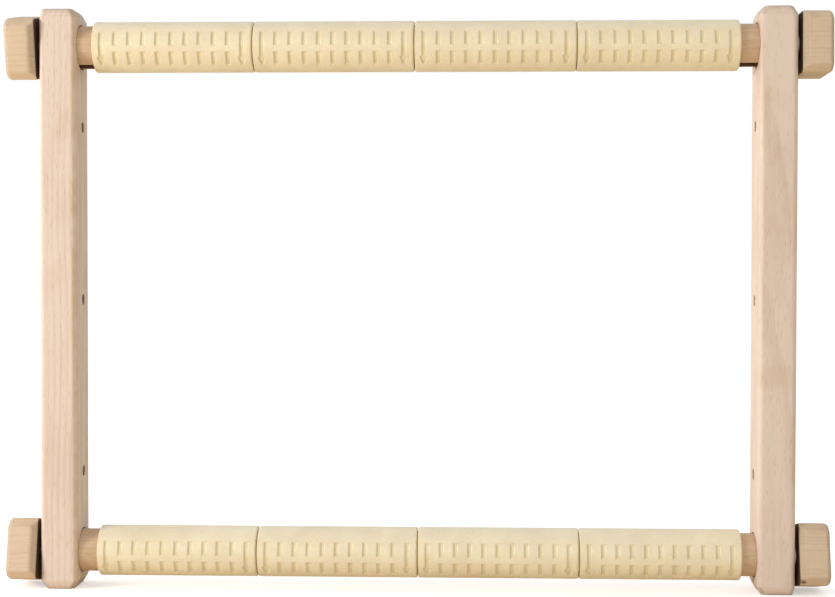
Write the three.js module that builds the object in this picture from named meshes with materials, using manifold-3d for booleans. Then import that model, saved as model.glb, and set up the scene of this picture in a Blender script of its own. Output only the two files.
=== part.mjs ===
// Scroll frame for hand embroidery: two upright side bars, two round rollers that wind the cloth,
// springy clips that grip the cloth round the rollers, and a wooden knob at each roller end that
// screws up on a stud and clamps the bar against the roller.
// Millimetres. X runs along the rollers, -Y is the front and +Z is up. The origin is on the surface
// that the side bars stand on, midway between them.

import * as THREE from 'three';
import { mergeVertices } from 'three/addons/utils/BufferGeometryUtils.js';
import Module from 'manifold-3d';

const wasm = await Module();
wasm.setup();

// Driving dimensions

const bar = {
  width: 17.5, // along X
  height: 272,
  socketWall: 1.6, // wood left in front of and behind a roller socket
  endWall: 6.6, // wood left between a roller socket and the end of the bar
  edgeRadius: 2.5, // rounding of the four long edges
  endRadius: 1, // rounding of the corners of the end faces
  endTaper: 4, // height of the bevel round each end
  endInset: 2.2, // how far that bevel draws in at the front, the back and the inner face
  outerInset: 2, // how far it draws in at the outer face, at the right bar's top and the left's bottom
  squareInset: 0.4, // and at the other ends, which are nearly square there
  pegHoleRadius: 2.5,
  pegHoleDepth: 10,
  pegHoleSpacing: 81.5, // along the bar, the middle hole at half height
  pegHoleOffset: 1.5, // behind the middle of the bar
};

const roller = {
  radius: 10,
  grooveWidth: 4.8, // lengthwise saw cut for the cloth's edge
  grooveDepth: 4.5,
  socketDepth: 2, // how deep its sockets in the side bars are
  bareEnd: 7.8, // roller left bare beside the clips, at each bar
};

const stud = {
  radius: 3,
  hold: 28, // length screwed into the roller
  tipBevel: 0.6,
};

const washer = {
  rim: 2.7, // from its hole to its edge
  thickness: 1.1,
};

const knob = {
  acrossFlats: 28.6,
  cornerCut: 3.4, // leg of the bevel along each corner
  thickness: 14.3,
  innerBevelLength: 3, // bevel at the front and the back of the end that faces the bar
  innerBevelInset: 1.8,
  outerBevel: 1.4, // leg of the bevel round the outer end
};

const insert = {
  wall: 1.7,
  recess: 0.4, // below the knob's inner end
  cover: 3.9, // from its far end to the knob's outer end
};

const clip = {
  columnPitch: 6.6, // from one sunk slot to the next
  endMargin: 4.5, // clip end to the middle of the first slot
  jointGap: 0.3, // between neighbouring clips
  wall: 1.4,
  lipReach: 2.7, // how far its two lips reach behind the roller's axis
  reliefDepth: 0.5,
  slotWidth: 1.5,
  arrowWidth: 3.8,
  arrowTipWidth: 0.6,
};

// Clearances

const fit = {
  seat: 0.2, // between faces that press together
  stud: 0.3, // round the stud in roller, washer and insert
  studInBar: 0.4,
  socket: 0.4, // round the roller in its socket
  rollerEnd: 0.3, // roller end to the bottom of the socket
  tip: 1, // beyond whatever ends inside a blind hole
  cloth: 0.45, // room for the cloth between roller and clip
  insert: 0.3, // round the insert in the knob
  cut: 5, // overrun of every cut
};

// Counts and angles in degrees. Angles on a roller start at the front and grow upwards.

const columns = 11;
const clipsPerRoller = 4;
const rowNearAngle = 6.75;
const rowFarAngle = 41;
const rowFacets = 3;
const lipFacets = 5;
const sides = { roller: 40, stud: 16, washer: 24, insert: 24, pegHole: 16, corner: 3 };

// Places and sizes that follow from the driving dimensions

const radians = THREE.MathUtils.degToRad;
const degrees = THREE.MathUtils.radToDeg;

const barDepth = 2 * (roller.radius + fit.socket + bar.socketWall);
const rollerInset = roller.radius + fit.socket + bar.endWall;
const clipLength = (columns - 1) * clip.columnPitch + 2 * clip.endMargin;
const clipPitch = clipLength + clip.jointGap;
const innerWidth = clipsPerRoller * clipPitch - clip.jointGap + 2 * roller.bareEnd;
const clipInnerRadius = roller.radius + fit.cloth;
const clipOuterRadius = clipInnerRadius + clip.wall;
const clipLipAngle = 90 + degrees(Math.asin(clip.lipReach / clipInnerRadius));
const threadedRadius = stud.radius + fit.stud;
const insertRadius = threadedRadius + insert.wall;

// These run outwards from a side bar's inner face.
const rollerEnd = roller.socketDepth - fit.rollerEnd;
const washerFace = bar.width + fit.seat;
const knobFace = washerFace + washer.thickness + fit.seat;
const insertFace = knobFace + insert.recess;
const insertEnd = knobFace + knob.thickness - insert.cover;

const rollerLength = innerWidth + 2 * rollerEnd;

// One entry per roller: where it lies, how far its clips and its groove are turned, and how far
// its row of clips sits from the middle of the roller.
const rollerRows = [
  {
    name: 'top',
    height: bar.height - rollerInset,
    crownAngle: -10,
    grooveAngle: -75,
    shift: -0.7,
    knobTilt: { left: -10.5, right: 1.5 },
  },
  {
    name: 'bottom',
    height: rollerInset,
    crownAngle: -9.5,
    grooveAngle: 120,
    shift: 1.1,
    knobTilt: { left: 12, right: 12.5 },
  },
];

// Finishes

const finishes = {
  beechBar: { color: 0xdcc3ab, roughness: 0.62, metalness: 0 },
  beechRoller: { color: 0xcfa888, roughness: 0.6, metalness: 0 },
  beechKnob: { color: 0xd6b393, roughness: 0.58, metalness: 0 },
  clipPlastic: { color: 0xf5e2b4, roughness: 0.42, metalness: 0 },
  steel: { color: 0xb4b5b8, roughness: 0.32, metalness: 0.9 },
  brass: { color: 0xb8964e, roughness: 0.38, metalness: 0.9 },
};

// Solids and meshes

// Makes a solid of a closed geometry, turning it the right way out if need be.
function toSolid(geometry) {
  const bare = geometry.clone();
  bare.deleteAttribute('normal');
  bare.deleteAttribute('uv');
  const merged = mergeVertices(bare);
  const positions = merged.attributes.position.array;
  const triangles = Uint32Array.from(merged.index.array);
  if (signedVolume(positions, triangles) < 0) {
    for (let i = 0; i < triangles.length; i += 3) {
      [triangles[i + 1], triangles[i + 2]] = [triangles[i + 2], triangles[i + 1]];
    }
  }
  return new wasm.Manifold(new wasm.Mesh({
    numProp: 3,
    vertProperties: Float32Array.from(positions),
    triVerts: triangles,
  }));
}

function signedVolume(positions, triangles) {
  const corners = [new THREE.Vector3(), new THREE.Vector3(), new THREE.Vector3()];
  let total = 0;
  for (let i = 0; i < triangles.length; i += 3) {
    corners.forEach((corner, k) => corner.fromArray(positions, 3 * triangles[i + k]));
    total += corners[0].dot(corners[1].clone().cross(corners[2])) / 6;
  }
  return total;
}

function toMesh(name, solid, finish) {
  const { vertProperties, triVerts } = solid.getMesh();
  const geometry = new THREE.BufferGeometry();
  geometry.setAttribute('position', new THREE.BufferAttribute(vertProperties, 3));
  geometry.setIndex(new THREE.BufferAttribute(triVerts, 1));
  geometry.computeVertexNormals();
  const mesh = new THREE.Mesh(geometry, new THREE.MeshStandardMaterial(finish));
  mesh.name = name;
  return mesh;
}

function joinAll(solids) {
  return solids.reduce((whole, solid) => whole.add(solid));
}

// Shapes

// Skins a row of rings, which all have the same number of points, and closes both ends.
function loft(rings) {
  const count = rings[0].length;
  const positions = rings.flat().flatMap((point) => point.toArray());
  const index = [];
  for (let level = 0; level + 1 < rings.length; level += 1) {
    for (let i = 0; i < count; i += 1) {
      const here = level * count + i;
      const next = level * count + ((i + 1) % count);
      index.push(here, next, next + count, here, next + count, here + count);
    }
  }
  const last = (rings.length - 1) * count;
  for (let i = 1; i + 1 < count; i += 1) {
    index.push(0, i + 1, i, last, last + i, last + i + 1);
  }
  const geometry = new THREE.BufferGeometry();
  geometry.setAttribute('position', new THREE.Float32BufferAttribute(positions, 3));
  geometry.setIndex(index);
  return toSolid(geometry);
}

// Turns a profile of [place along X, radius] pairs about the X axis.
function turned(profile, segments) {
  const points = profile.map(([along, radius]) => new THREE.Vector2(radius, along));
  const geometry = new THREE.LatheGeometry(points, segments);
  const toX = new THREE.Matrix4().makeBasis(
    new THREE.Vector3(0, 0, 1),
    new THREE.Vector3(1, 0, 0),
    new THREE.Vector3(0, 1, 0),
  );
  return toSolid(geometry.applyMatrix4(toX));
}

function rod(from, to, radius, segments) {
  return turned([[from, 0], [from, radius], [to, radius], [to, 0]], segments);
}

function ring(from, to, innerRadius, outerRadius, segments) {
  const profile = [
    [from, innerRadius],
    [from, outerRadius],
    [to, outerRadius],
    [to, innerRadius],
    [from, innerRadius],
  ];
  return turned(profile, segments);
}

// Pushes a flat outline, given as points [Y, Z], along X.
function extrudeAlongX(outline, from, length) {
  const shape = new THREE.Shape(outline.map(([y, z]) => new THREE.Vector2(y, z)));
  const geometry = new THREE.ExtrudeGeometry(shape, { depth: length, bevelEnabled: false });
  const toX = new THREE.Matrix4().makeBasis(
    new THREE.Vector3(0, 1, 0),
    new THREE.Vector3(0, 0, 1),
    new THREE.Vector3(1, 0, 0),
  );
  geometry.applyMatrix4(toX.setPosition(from, 0, 0));
  return toSolid(geometry);
}

// A point [Y, Z] on a circle round the roller's axis, its angle counted up from the front.
function onCircle(radius, degrees) {
  return [-radius * Math.cos(radians(degrees)), radius * Math.sin(radians(degrees))];
}

// Angles from one value to another in even steps, both ends included.
function steps(from, to, count) {
  return Array.from({ length: count + 1 }, (_, i) => THREE.MathUtils.lerp(from, to, i / count));
}

// A band between two radii that follows the given angles.
function band(angles, innerRadius, outerRadius, from, length) {
  const outer = angles.map((angle) => onCircle(outerRadius, angle));
  const inner = angles.map((angle) => onCircle(innerRadius, angle)).reverse();
  return extrudeAlongX([...outer, ...inner], from, length);
}

// A rectangle with rounded corners at height z, from left to right of the Z axis.
function roundedRectangle(left, right, depth, radius, z) {
  const corners = [
    [right - radius, -1, -90],
    [right - radius, 1, 0],
    [left + radius, 1, 90],
    [left + radius, -1, 180],
  ];
  return corners.flatMap(([middleX, sideY, start]) => steps(start, start + 90, sides.corner)
    .map((angle) => new THREE.Vector3(
      middleX + radius * Math.cos(radians(angle)),
      sideY * (depth / 2 - radius) + radius * Math.sin(radians(angle)),
      z,
    )));
}

// A square with its corners cut, square to the X axis at place x. Its front and back lie an inset
// further in.
function cutSquare(acrossFlats, cut, x, inset = 0) {
  const half = acrossFlats / 2;
  const near = half - cut;
  const front = half - inset;
  const tall = near + inset;
  const corners = [
    [front, -tall], [front, tall], [near, half], [-near, half],
    [-front, tall], [-front, -tall], [-near, -half], [near, -half],
  ];
  return corners.map(([y, z]) => new THREE.Vector3(x, y, z));
}

// Pieces

// A side bar, standing on z = 0 and centred on the Z axis; side is 1 on the right, -1 on the left.
function sideBar(side) {
  const half = bar.width / 2;
  const section = (outerInset, innerInset, depth, radius, z) => {
    const outer = side * (half - outerInset);
    const inner = -side * (half - innerInset);
    return roundedRectangle(Math.min(outer, inner), Math.max(outer, inner), depth, radius, z);
  };
  const endDepth = barDepth - 2 * bar.endInset;
  const [lowInset, highInset] = side > 0
    ? [bar.squareInset, bar.outerInset]
    : [bar.outerInset, bar.squareInset];
  const body = loft([
    section(lowInset, bar.endInset, endDepth, bar.endRadius, 0),
    section(0, 0, barDepth, bar.edgeRadius, bar.endTaper),
    section(0, 0, barDepth, bar.edgeRadius, bar.height - bar.endTaper),
    section(highInset, bar.endInset, endDepth, bar.endRadius, bar.height),
  ]);
  const innerFace = -side * bar.width / 2;
  const outside = innerFace - side * fit.cut;
  const sockets = rollerRows.flatMap(({ height }) => [
    rod(outside, innerFace + side * roller.socketDepth, roller.radius + fit.socket, sides.roller)
      .translate(0, 0, height),
    rod(outside, side * (bar.width / 2 + fit.cut), stud.radius + fit.studInBar, sides.stud)
      .translate(0, 0, height),
  ]);
  const pegHoles = [-1, 0, 1].map((place) => (
    rod(outside, innerFace + side * bar.pegHoleDepth, bar.pegHoleRadius, sides.pegHole)
      .translate(0, bar.pegHoleOffset, bar.height / 2 + place * bar.pegHoleSpacing)));
  return body.subtract(joinAll([...sockets, ...pegHoles]));
}

// A roller along X, centred, with its cloth groove at the given angle.
function rollerRod(grooveAngle) {
  const halfOpening = degrees(Math.asin(roller.grooveWidth / 2 / roller.radius));
  const rim = steps(grooveAngle + halfOpening, grooveAngle + 360 - halfOpening, sides.roller)
    .map((angle) => onCircle(roller.radius, angle));
  const floorDistance = roller.radius - roller.grooveDepth;
  const floorRadius = Math.hypot(floorDistance, roller.grooveWidth / 2);
  const floorHalf = degrees(Math.atan2(roller.grooveWidth / 2, floorDistance));
  const floor = [grooveAngle - floorHalf, grooveAngle + floorHalf]
    .map((angle) => onCircle(floorRadius, angle));
  const body = extrudeAlongX([...rim, ...floor], -rollerLength / 2, rollerLength);
  const studHoles = [-1, 1].map((side) => rod(
    side * (rollerLength / 2 - stud.hold - fit.tip),
    side * (rollerLength / 2 + fit.cut),
    threadedRadius,
    sides.stud,
  ));
  return body.subtract(joinAll(studHoles));
}

function studBolt() {
  const from = rollerEnd - stud.hold;
  const shoulder = stud.radius - stud.tipBevel;
  const profile = [
    [from, 0],
    [from, shoulder],
    [from + stud.tipBevel, stud.radius],
    [insertEnd - stud.tipBevel, stud.radius],
    [insertEnd, shoulder],
    [insertEnd, 0],
  ];
  return turned(profile, sides.stud);
}

function flatWasher() {
  const to = washerFace + washer.thickness;
  return ring(washerFace, to, threadedRadius, threadedRadius + washer.rim, sides.washer);
}

function knobBody() {
  const end = knobFace + knob.thickness;
  const block = loft([
    cutSquare(knob.acrossFlats, knob.cornerCut, knobFace, knob.innerBevelInset),
    cutSquare(knob.acrossFlats, knob.cornerCut, knobFace + knob.innerBevelLength),
    cutSquare(knob.acrossFlats, knob.cornerCut, end - knob.outerBevel),
    cutSquare(knob.acrossFlats - 2 * knob.outerBevel, knob.cornerCut, end),
  ]);
  const bore = rod(knobFace - fit.cut, insertEnd + fit.tip, insertRadius + fit.insert, sides.insert);
  return block.subtract(bore);
}

function threadedInsert() {
  return ring(insertFace, insertEnd, threadedRadius, insertRadius, sides.insert);
}

// The part of an arrow below its shaft, which narrows to the tip.
function arrowHead(place, angles, innerRadius, outerRadius) {
  const rings = angles.map((angle, i) => {
    const width = THREE.MathUtils.lerp(clip.arrowWidth, clip.arrowTipWidth, i / (angles.length - 1));
    const inner = onCircle(innerRadius, angle);
    const outer = onCircle(outerRadius, angle);
    return [
      new THREE.Vector3(place - width / 2, ...inner),
      new THREE.Vector3(place + width / 2, ...inner),
      new THREE.Vector3(place + width / 2, ...outer),
      new THREE.Vector3(place - width / 2, ...outer),
    ];
  });
  return loft(rings);
}

// A clip with its crown at the front: a long C with sunk slots in two rows and an arrow at each end.
function clipShell() {
  const upperRow = steps(rowFarAngle, rowNearAngle, rowFacets);
  const lowerRow = steps(-rowNearAngle, -rowFarAngle, rowFacets);
  const lip = steps(clipLipAngle, rowFarAngle, lipFacets).slice(0, -1);
  const otherLip = steps(-rowFarAngle, -clipLipAngle, lipFacets).slice(1);
  const body = band(
    [...lip, ...upperRow, ...lowerRow, ...otherLip],
    clipInnerRadius,
    clipOuterRadius,
    -clipLength / 2,
    clipLength,
  );
  const floorRadius = clipOuterRadius - clip.reliefDepth;
  const clear = clipOuterRadius + fit.cut;
  const shaft = [...upperRow, ...lowerRow.slice(0, -1)];
  const head = lowerRow.slice(1);
  const relief = Array.from({ length: columns }, (_, column) => {
    const place = (column - (columns - 1) / 2) * clip.columnPitch;
    const from = place - clip.slotWidth / 2;
    const isArrow = column === 0 || column === columns - 1;
    return isArrow
      ? [band(shaft, floorRadius, clear, from, clip.slotWidth), arrowHead(place, head, floorRadius, clear)]
      : [upperRow, lowerRow].map((row) => band(row, floorRadius, clear, from, clip.slotWidth));
  });
  return body.subtract(joinAll(relief.flat()));
}

// Assembly

const group = new THREE.Group();

const barPlace = (innerWidth + bar.width) / 2;
for (const [name, side] of [['left', -1], ['right', 1]]) {
  const mesh = toMesh(`side_bar_${name}`, sideBar(side), finishes.beechBar);
  mesh.position.set(side * barPlace, 0, 0);
  group.add(mesh);
}

for (const row of rollerRows) {
  const assembly = new THREE.Group();
  assembly.position.set(0, 0, row.height);
  assembly.add(toMesh(`roller_${row.name}`, rollerRod(row.grooveAngle), finishes.beechRoller));

  // Each end is built outwards from the bar's inner face along X, and turned round on the left.
  for (const [name, side] of [['left', -1], ['right', 1]]) {
    const end = new THREE.Group();
    end.position.set(side * innerWidth / 2, 0, 0);
    end.rotation.z = side > 0 ? 0 : Math.PI;
    end.add(toMesh(`stud_${row.name}_${name}`, studBolt(), finishes.steel));
    end.add(toMesh(`washer_${row.name}_${name}`, flatWasher(), finishes.steel));
    const knobPieces = new THREE.Group();
    knobPieces.rotation.x = -side * radians(row.knobTilt[name]);
    knobPieces.add(toMesh(`knob_${row.name}_${name}`, knobBody(), finishes.beechKnob));
    knobPieces.add(toMesh(`insert_${row.name}_${name}`, threadedInsert(), finishes.brass));
    end.add(knobPieces);
    assembly.add(end);
  }

  for (let i = 0; i < clipsPerRoller; i += 1) {
    const mesh = toMesh(`clip_${row.name}_${i + 1}`, clipShell(), finishes.clipPlastic);
    mesh.position.x = row.shift + (i - (clipsPerRoller - 1) / 2) * clipPitch;
    mesh.rotation.x = -radians(row.crownAngle);
    assembly.add(mesh);
  }
  group.add(assembly);
}

export default group;
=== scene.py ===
"""The finished look of a scroll frame for hand embroidery.

Two beech side bars stand on a pale floor, and two beech rollers turn between them. Each roller is
gripped by a row of cream plastic clips, and a beech knob on a threaded stud clamps each of its ends
to a side bar. Lengths are in metres, +Z is up and -Y is the front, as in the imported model.
"""

import logging
import math
from collections.abc import Callable, Iterable, Sequence
from dataclasses import dataclass
from enum import Enum

import bmesh
import bpy
from bmesh.types import BMEdge, BMesh, BMFace, BMVert
from bpy.types import Material, Mesh, Node, NodeSocket, NodeTree, Object
from mathutils import Matrix, Vector


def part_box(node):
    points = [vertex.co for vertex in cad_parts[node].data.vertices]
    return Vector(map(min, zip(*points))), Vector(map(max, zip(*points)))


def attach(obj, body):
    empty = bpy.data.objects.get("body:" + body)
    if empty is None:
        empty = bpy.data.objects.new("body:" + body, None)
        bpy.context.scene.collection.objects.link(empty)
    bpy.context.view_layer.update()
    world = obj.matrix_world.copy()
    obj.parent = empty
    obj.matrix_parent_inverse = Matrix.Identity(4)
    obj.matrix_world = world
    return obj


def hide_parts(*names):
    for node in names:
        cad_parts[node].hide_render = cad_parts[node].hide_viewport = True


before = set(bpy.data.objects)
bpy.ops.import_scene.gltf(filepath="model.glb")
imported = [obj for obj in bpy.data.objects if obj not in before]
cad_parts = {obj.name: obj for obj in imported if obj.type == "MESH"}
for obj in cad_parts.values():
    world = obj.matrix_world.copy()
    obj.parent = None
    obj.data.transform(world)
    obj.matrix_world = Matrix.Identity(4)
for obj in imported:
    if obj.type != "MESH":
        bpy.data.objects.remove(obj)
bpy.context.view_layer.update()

log = logging.getLogger("scroll_frame")

MM = 0.001
FULL_TURN = 2 * math.pi
MERGE_DISTANCE = 0.002 * MM
SMOOTH_UNDER = math.radians(32)
ROUNDED_LAYER = "rounded"
# The mark of sunk places and shaded gaps, where the finishes lay painted shade.
PAINTED_SHADE_LAYER = "sunk"

# The least share of a normal that runs along an axis, for a face that looks along it or leans to it.
ON_AXIS_LEAST = 0.998
LEANING_LEAST = 0.15

# The least angle between the faces at an edge, in degrees, by kind of edge.
SQUARE_EDGE = 60
RIM_EDGE = 50
BEVEL_EDGE = 18
WALL_EDGE = 14
TAPER_EDGE = 10

# The curve between a colour's number on a screen and its light.
SCREEN_TOE = 0.04045
SCREEN_TOE_SLOPE = 12.92
SCREEN_LIFT = 0.055
SCREEN_POWER = 2.4

Colour = tuple[float, float, float, float]
Outline = Sequence[tuple[float, float]]

WHITE: Colour = (1.0, 1.0, 1.0, 1.0)


# Names of places on the frame


class Level(Enum):
    """Which of the two rollers a piece belongs to."""

    TOP = "top"
    BOTTOM = "bottom"

    @property
    def axis_height(self) -> float:
        """The height of the roller's axis, which is the middle of its left stud."""
        low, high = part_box(f"stud_{self.value}_left")
        return (low.z + high.z) / 2


class Hand(Enum):
    """An end of a roller as seen from the front. Its value points outwards along X."""

    LEFT = -1
    RIGHT = 1

    @property
    def word(self) -> str:
        """The hand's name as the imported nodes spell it."""
        return self.name.lower()


class Grain(Enum):
    """The axis that the fibres of a wooden piece run along."""

    ALONG_BAR = "Z"
    ALONG_ROLLER = "X"


@dataclass(frozen=True)
class Place:
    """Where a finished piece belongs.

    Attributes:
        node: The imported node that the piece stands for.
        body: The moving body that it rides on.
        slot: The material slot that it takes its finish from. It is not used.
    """

    node: str
    body: str
    slot: str

    @property
    def low(self) -> Vector:
        """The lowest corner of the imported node."""
        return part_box(self.node)[0]

    @property
    def high(self) -> Vector:
        """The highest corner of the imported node."""
        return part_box(self.node)[1]

    @property
    def centre(self) -> Vector:
        """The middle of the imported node's box."""
        return (self.low + self.high) / 2

    @property
    def length(self) -> float:
        """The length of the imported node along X."""
        return self.high.x - self.low.x


# Shader graphs


def paint(red: int, green: int, blue: int) -> Colour:
    """Turns a colour as a screen shows it into the linear colour that a shader needs.

    Args:
        red: Red from 0 to 255.
        green: Green from 0 to 255.
        blue: Blue from 0 to 255.

    Returns:
        The linear colour, with full alpha.
    """

    def linear(value: int) -> float:
        """Undoes the screen's curve for one channel.

        Args:
            value: The channel, from 0 to 255.

        Returns:
            Its light, from 0 to 1.
        """
        share = value / 255
        if share <= SCREEN_TOE:
            return share / SCREEN_TOE_SLOPE
        return ((share + SCREEN_LIFT) / (1 + SCREEN_LIFT)) ** SCREEN_POWER

    return (linear(red), linear(green), linear(blue), 1.0)


class Graph:
    """Adds shader nodes to one tree and links them."""

    NUMBER_RESULTS = ("LENGTH", "DOT_PRODUCT", "DISTANCE")

    def __init__(self, tree: NodeTree) -> None:
        """Takes on the tree that it adds to."""
        self.tree = tree

    def add(self, kind: str, **settings: object) -> Node:
        """Adds a node of a kind and sets its options by name.

        Args:
            kind: The node's type.
            **settings: Options of the node, by name.

        Returns:
            The new node.
        """
        node = self.tree.nodes.new(kind)
        for name, value in settings.items():
            setattr(node, name, value)
        return node

    def feed(self, socket: NodeSocket, value: object) -> None:
        """Links another socket into an input, or sets a number, vector or colour on it.

        Args:
            socket: The input to fill.
            value: A socket to link, or a number, vector or colour to set.
        """
        if isinstance(value, NodeSocket):
            self.tree.links.new(value, socket)
        else:
            socket.default_value = value

    def worked_out(self, kind: str, operation: str, values: Iterable[object]) -> Node:
        """Adds a node that works something out, and feeds its inputs in order.

        Args:
            kind: The node's type.
            operation: What it works out.
            values: Its inputs in order.

        Returns:
            The new node.
        """
        node = self.add(kind, operation=operation)
        for socket, value in zip(node.inputs, values):
            self.feed(socket, value)
        return node

    def maths(self, operation: str, *values: object) -> NodeSocket:
        """Works out a number from numbers."""
        return self.worked_out("ShaderNodeMath", operation, values).outputs[0]

    def vector(self, operation: str, *values: object) -> NodeSocket:
        """Works out a vector from vectors, or a number for one of NUMBER_RESULTS."""
        node = self.worked_out("ShaderNodeVectorMath", operation, values)
        return node.outputs["Value" if operation in self.NUMBER_RESULTS else "Vector"]

    def stretched(self, vector: NodeSocket, across: float, along: float) -> NodeSocket:
        """Scales coordinates whose Z runs along the fibres, across the fibres and along them."""
        return self.vector("MULTIPLY", vector, (across, across, along))

    def in_millimetres(self, vector: NodeSocket) -> NodeSocket:
        """Turns coordinates in metres into millimetres."""
        return self.vector("MULTIPLY", vector, (1 / MM, 1 / MM, 1 / MM))

    def mark(self, layer_name: str) -> NodeSocket:
        """Reads the number that mark_faces wrote on the faces."""
        return self.add("ShaderNodeAttribute", attribute_name=layer_name).outputs["Fac"]

    def noise(self, vector: NodeSocket, scale: object = 1.0, detail: float = 2.0) -> NodeSocket:
        """Adds smooth noise from 0 to 1.

        Args:
            vector: Coordinates.
            scale: How many spots fit into one unit.
            detail: How many finer layers it has.

        Returns:
            The noise.
        """
        node = self.add("ShaderNodeTexNoise")
        node.inputs["Detail"].default_value = detail
        self.feed(node.inputs["Vector"], vector)
        self.feed(node.inputs["Scale"], scale)
        return node.outputs["Fac"]

    def ramp(
        self, value: NodeSocket, low: float, high: float, start: float = 0.0, end: float = 1.0
    ) -> NodeSocket:
        """Eases a value from one range into another and stops at its ends.

        Args:
            value: The value.
            low: Where the first range starts.
            high: Where the first range ends.
            start: The result at low.
            end: The result at high.

        Returns:
            The eased value.
        """
        node = self.add("ShaderNodeMapRange", interpolation_type="SMOOTHSTEP")
        for socket, part in zip(node.inputs, (value, low, high, start, end)):
            self.feed(socket, part)
        return node.outputs[0]

    def mixed(self, share: object, first: object, second: object, blend: str = "MIX") -> NodeSocket:
        """Mixes two colours.

        Args:
            share: How much of the second colour there is.
            first: The first colour.
            second: The second colour.
            blend: How the second goes onto the first.

        Returns:
            The mixed colour.
        """
        node = self.add("ShaderNodeMix", data_type="RGBA", blend_type=blend, clamp_result=True)
        colour_inputs = [socket for socket in node.inputs if socket.type == "RGBA"]
        self.feed(node.inputs[0], share)
        self.feed(colour_inputs[0], first)
        self.feed(colour_inputs[1], second)
        return next(socket for socket in node.outputs if socket.type == "RGBA")

    def bumped(self, height: NodeSocket, depth: float, strength: float) -> NodeSocket:
        """Turns a height into a normal.

        Args:
            height: The height, from 0 to 1.
            depth: How deep a height of 1 is.
            strength: How much of the bump shows.

        Returns:
            The bumped normal.
        """
        bump = self.add("ShaderNodeBump")
        bump.inputs["Strength"].default_value = strength
        bump.inputs["Distance"].default_value = depth
        self.feed(bump.inputs["Height"], height)
        return bump.outputs["Normal"]

    def placed(self, group: NodeTree, **values: object) -> Node:
        """Places a shared effect.

        Args:
            group: The effect's node group.
            **values: Its inputs by name, with an underscore for each blank.

        Returns:
            The group node, whose outputs carry the effect.
        """
        node = self.add("ShaderNodeGroup", node_tree=group)
        for name, value in values.items():
            self.feed(node.inputs[name.replace("_", " ").title()], value)
        return node


class SharedEffect:
    """A shader node group that several finishes place with their own values."""

    NAME = ""
    INPUTS: dict[str, str] = {}
    OUTPUTS: dict[str, str] = {}
    KINDS = {"number": "NodeSocketFloat", "vector": "NodeSocketVector", "colour": "NodeSocketColor"}

    @classmethod
    def group(cls) -> NodeTree:
        """Finds the effect's node group, and builds it the first time.

        Returns:
            The node group.
        """
        known = bpy.data.node_groups.get(cls.NAME)
        if known:
            return known
        tree = bpy.data.node_groups.new(cls.NAME, "ShaderNodeTree")
        for side, sockets in (("INPUT", cls.INPUTS), ("OUTPUT", cls.OUTPUTS)):
            for name, kind in sockets.items():
                tree.interface.new_socket(name=name, in_out=side, socket_type=cls.KINDS[kind])
        graph = Graph(tree)
        source = graph.add("NodeGroupInput")
        target = graph.add("NodeGroupOutput")
        for name, socket in cls.wire(graph, source.outputs).items():
            graph.feed(target.inputs[name], socket)
        return tree

    @classmethod
    def wire(cls, graph: Graph, inputs: bpy.types.NodeOutputs) -> dict[str, NodeSocket]:
        """Builds the effect from its inputs, and names the socket that feeds each output."""
        raise NotImplementedError


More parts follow.
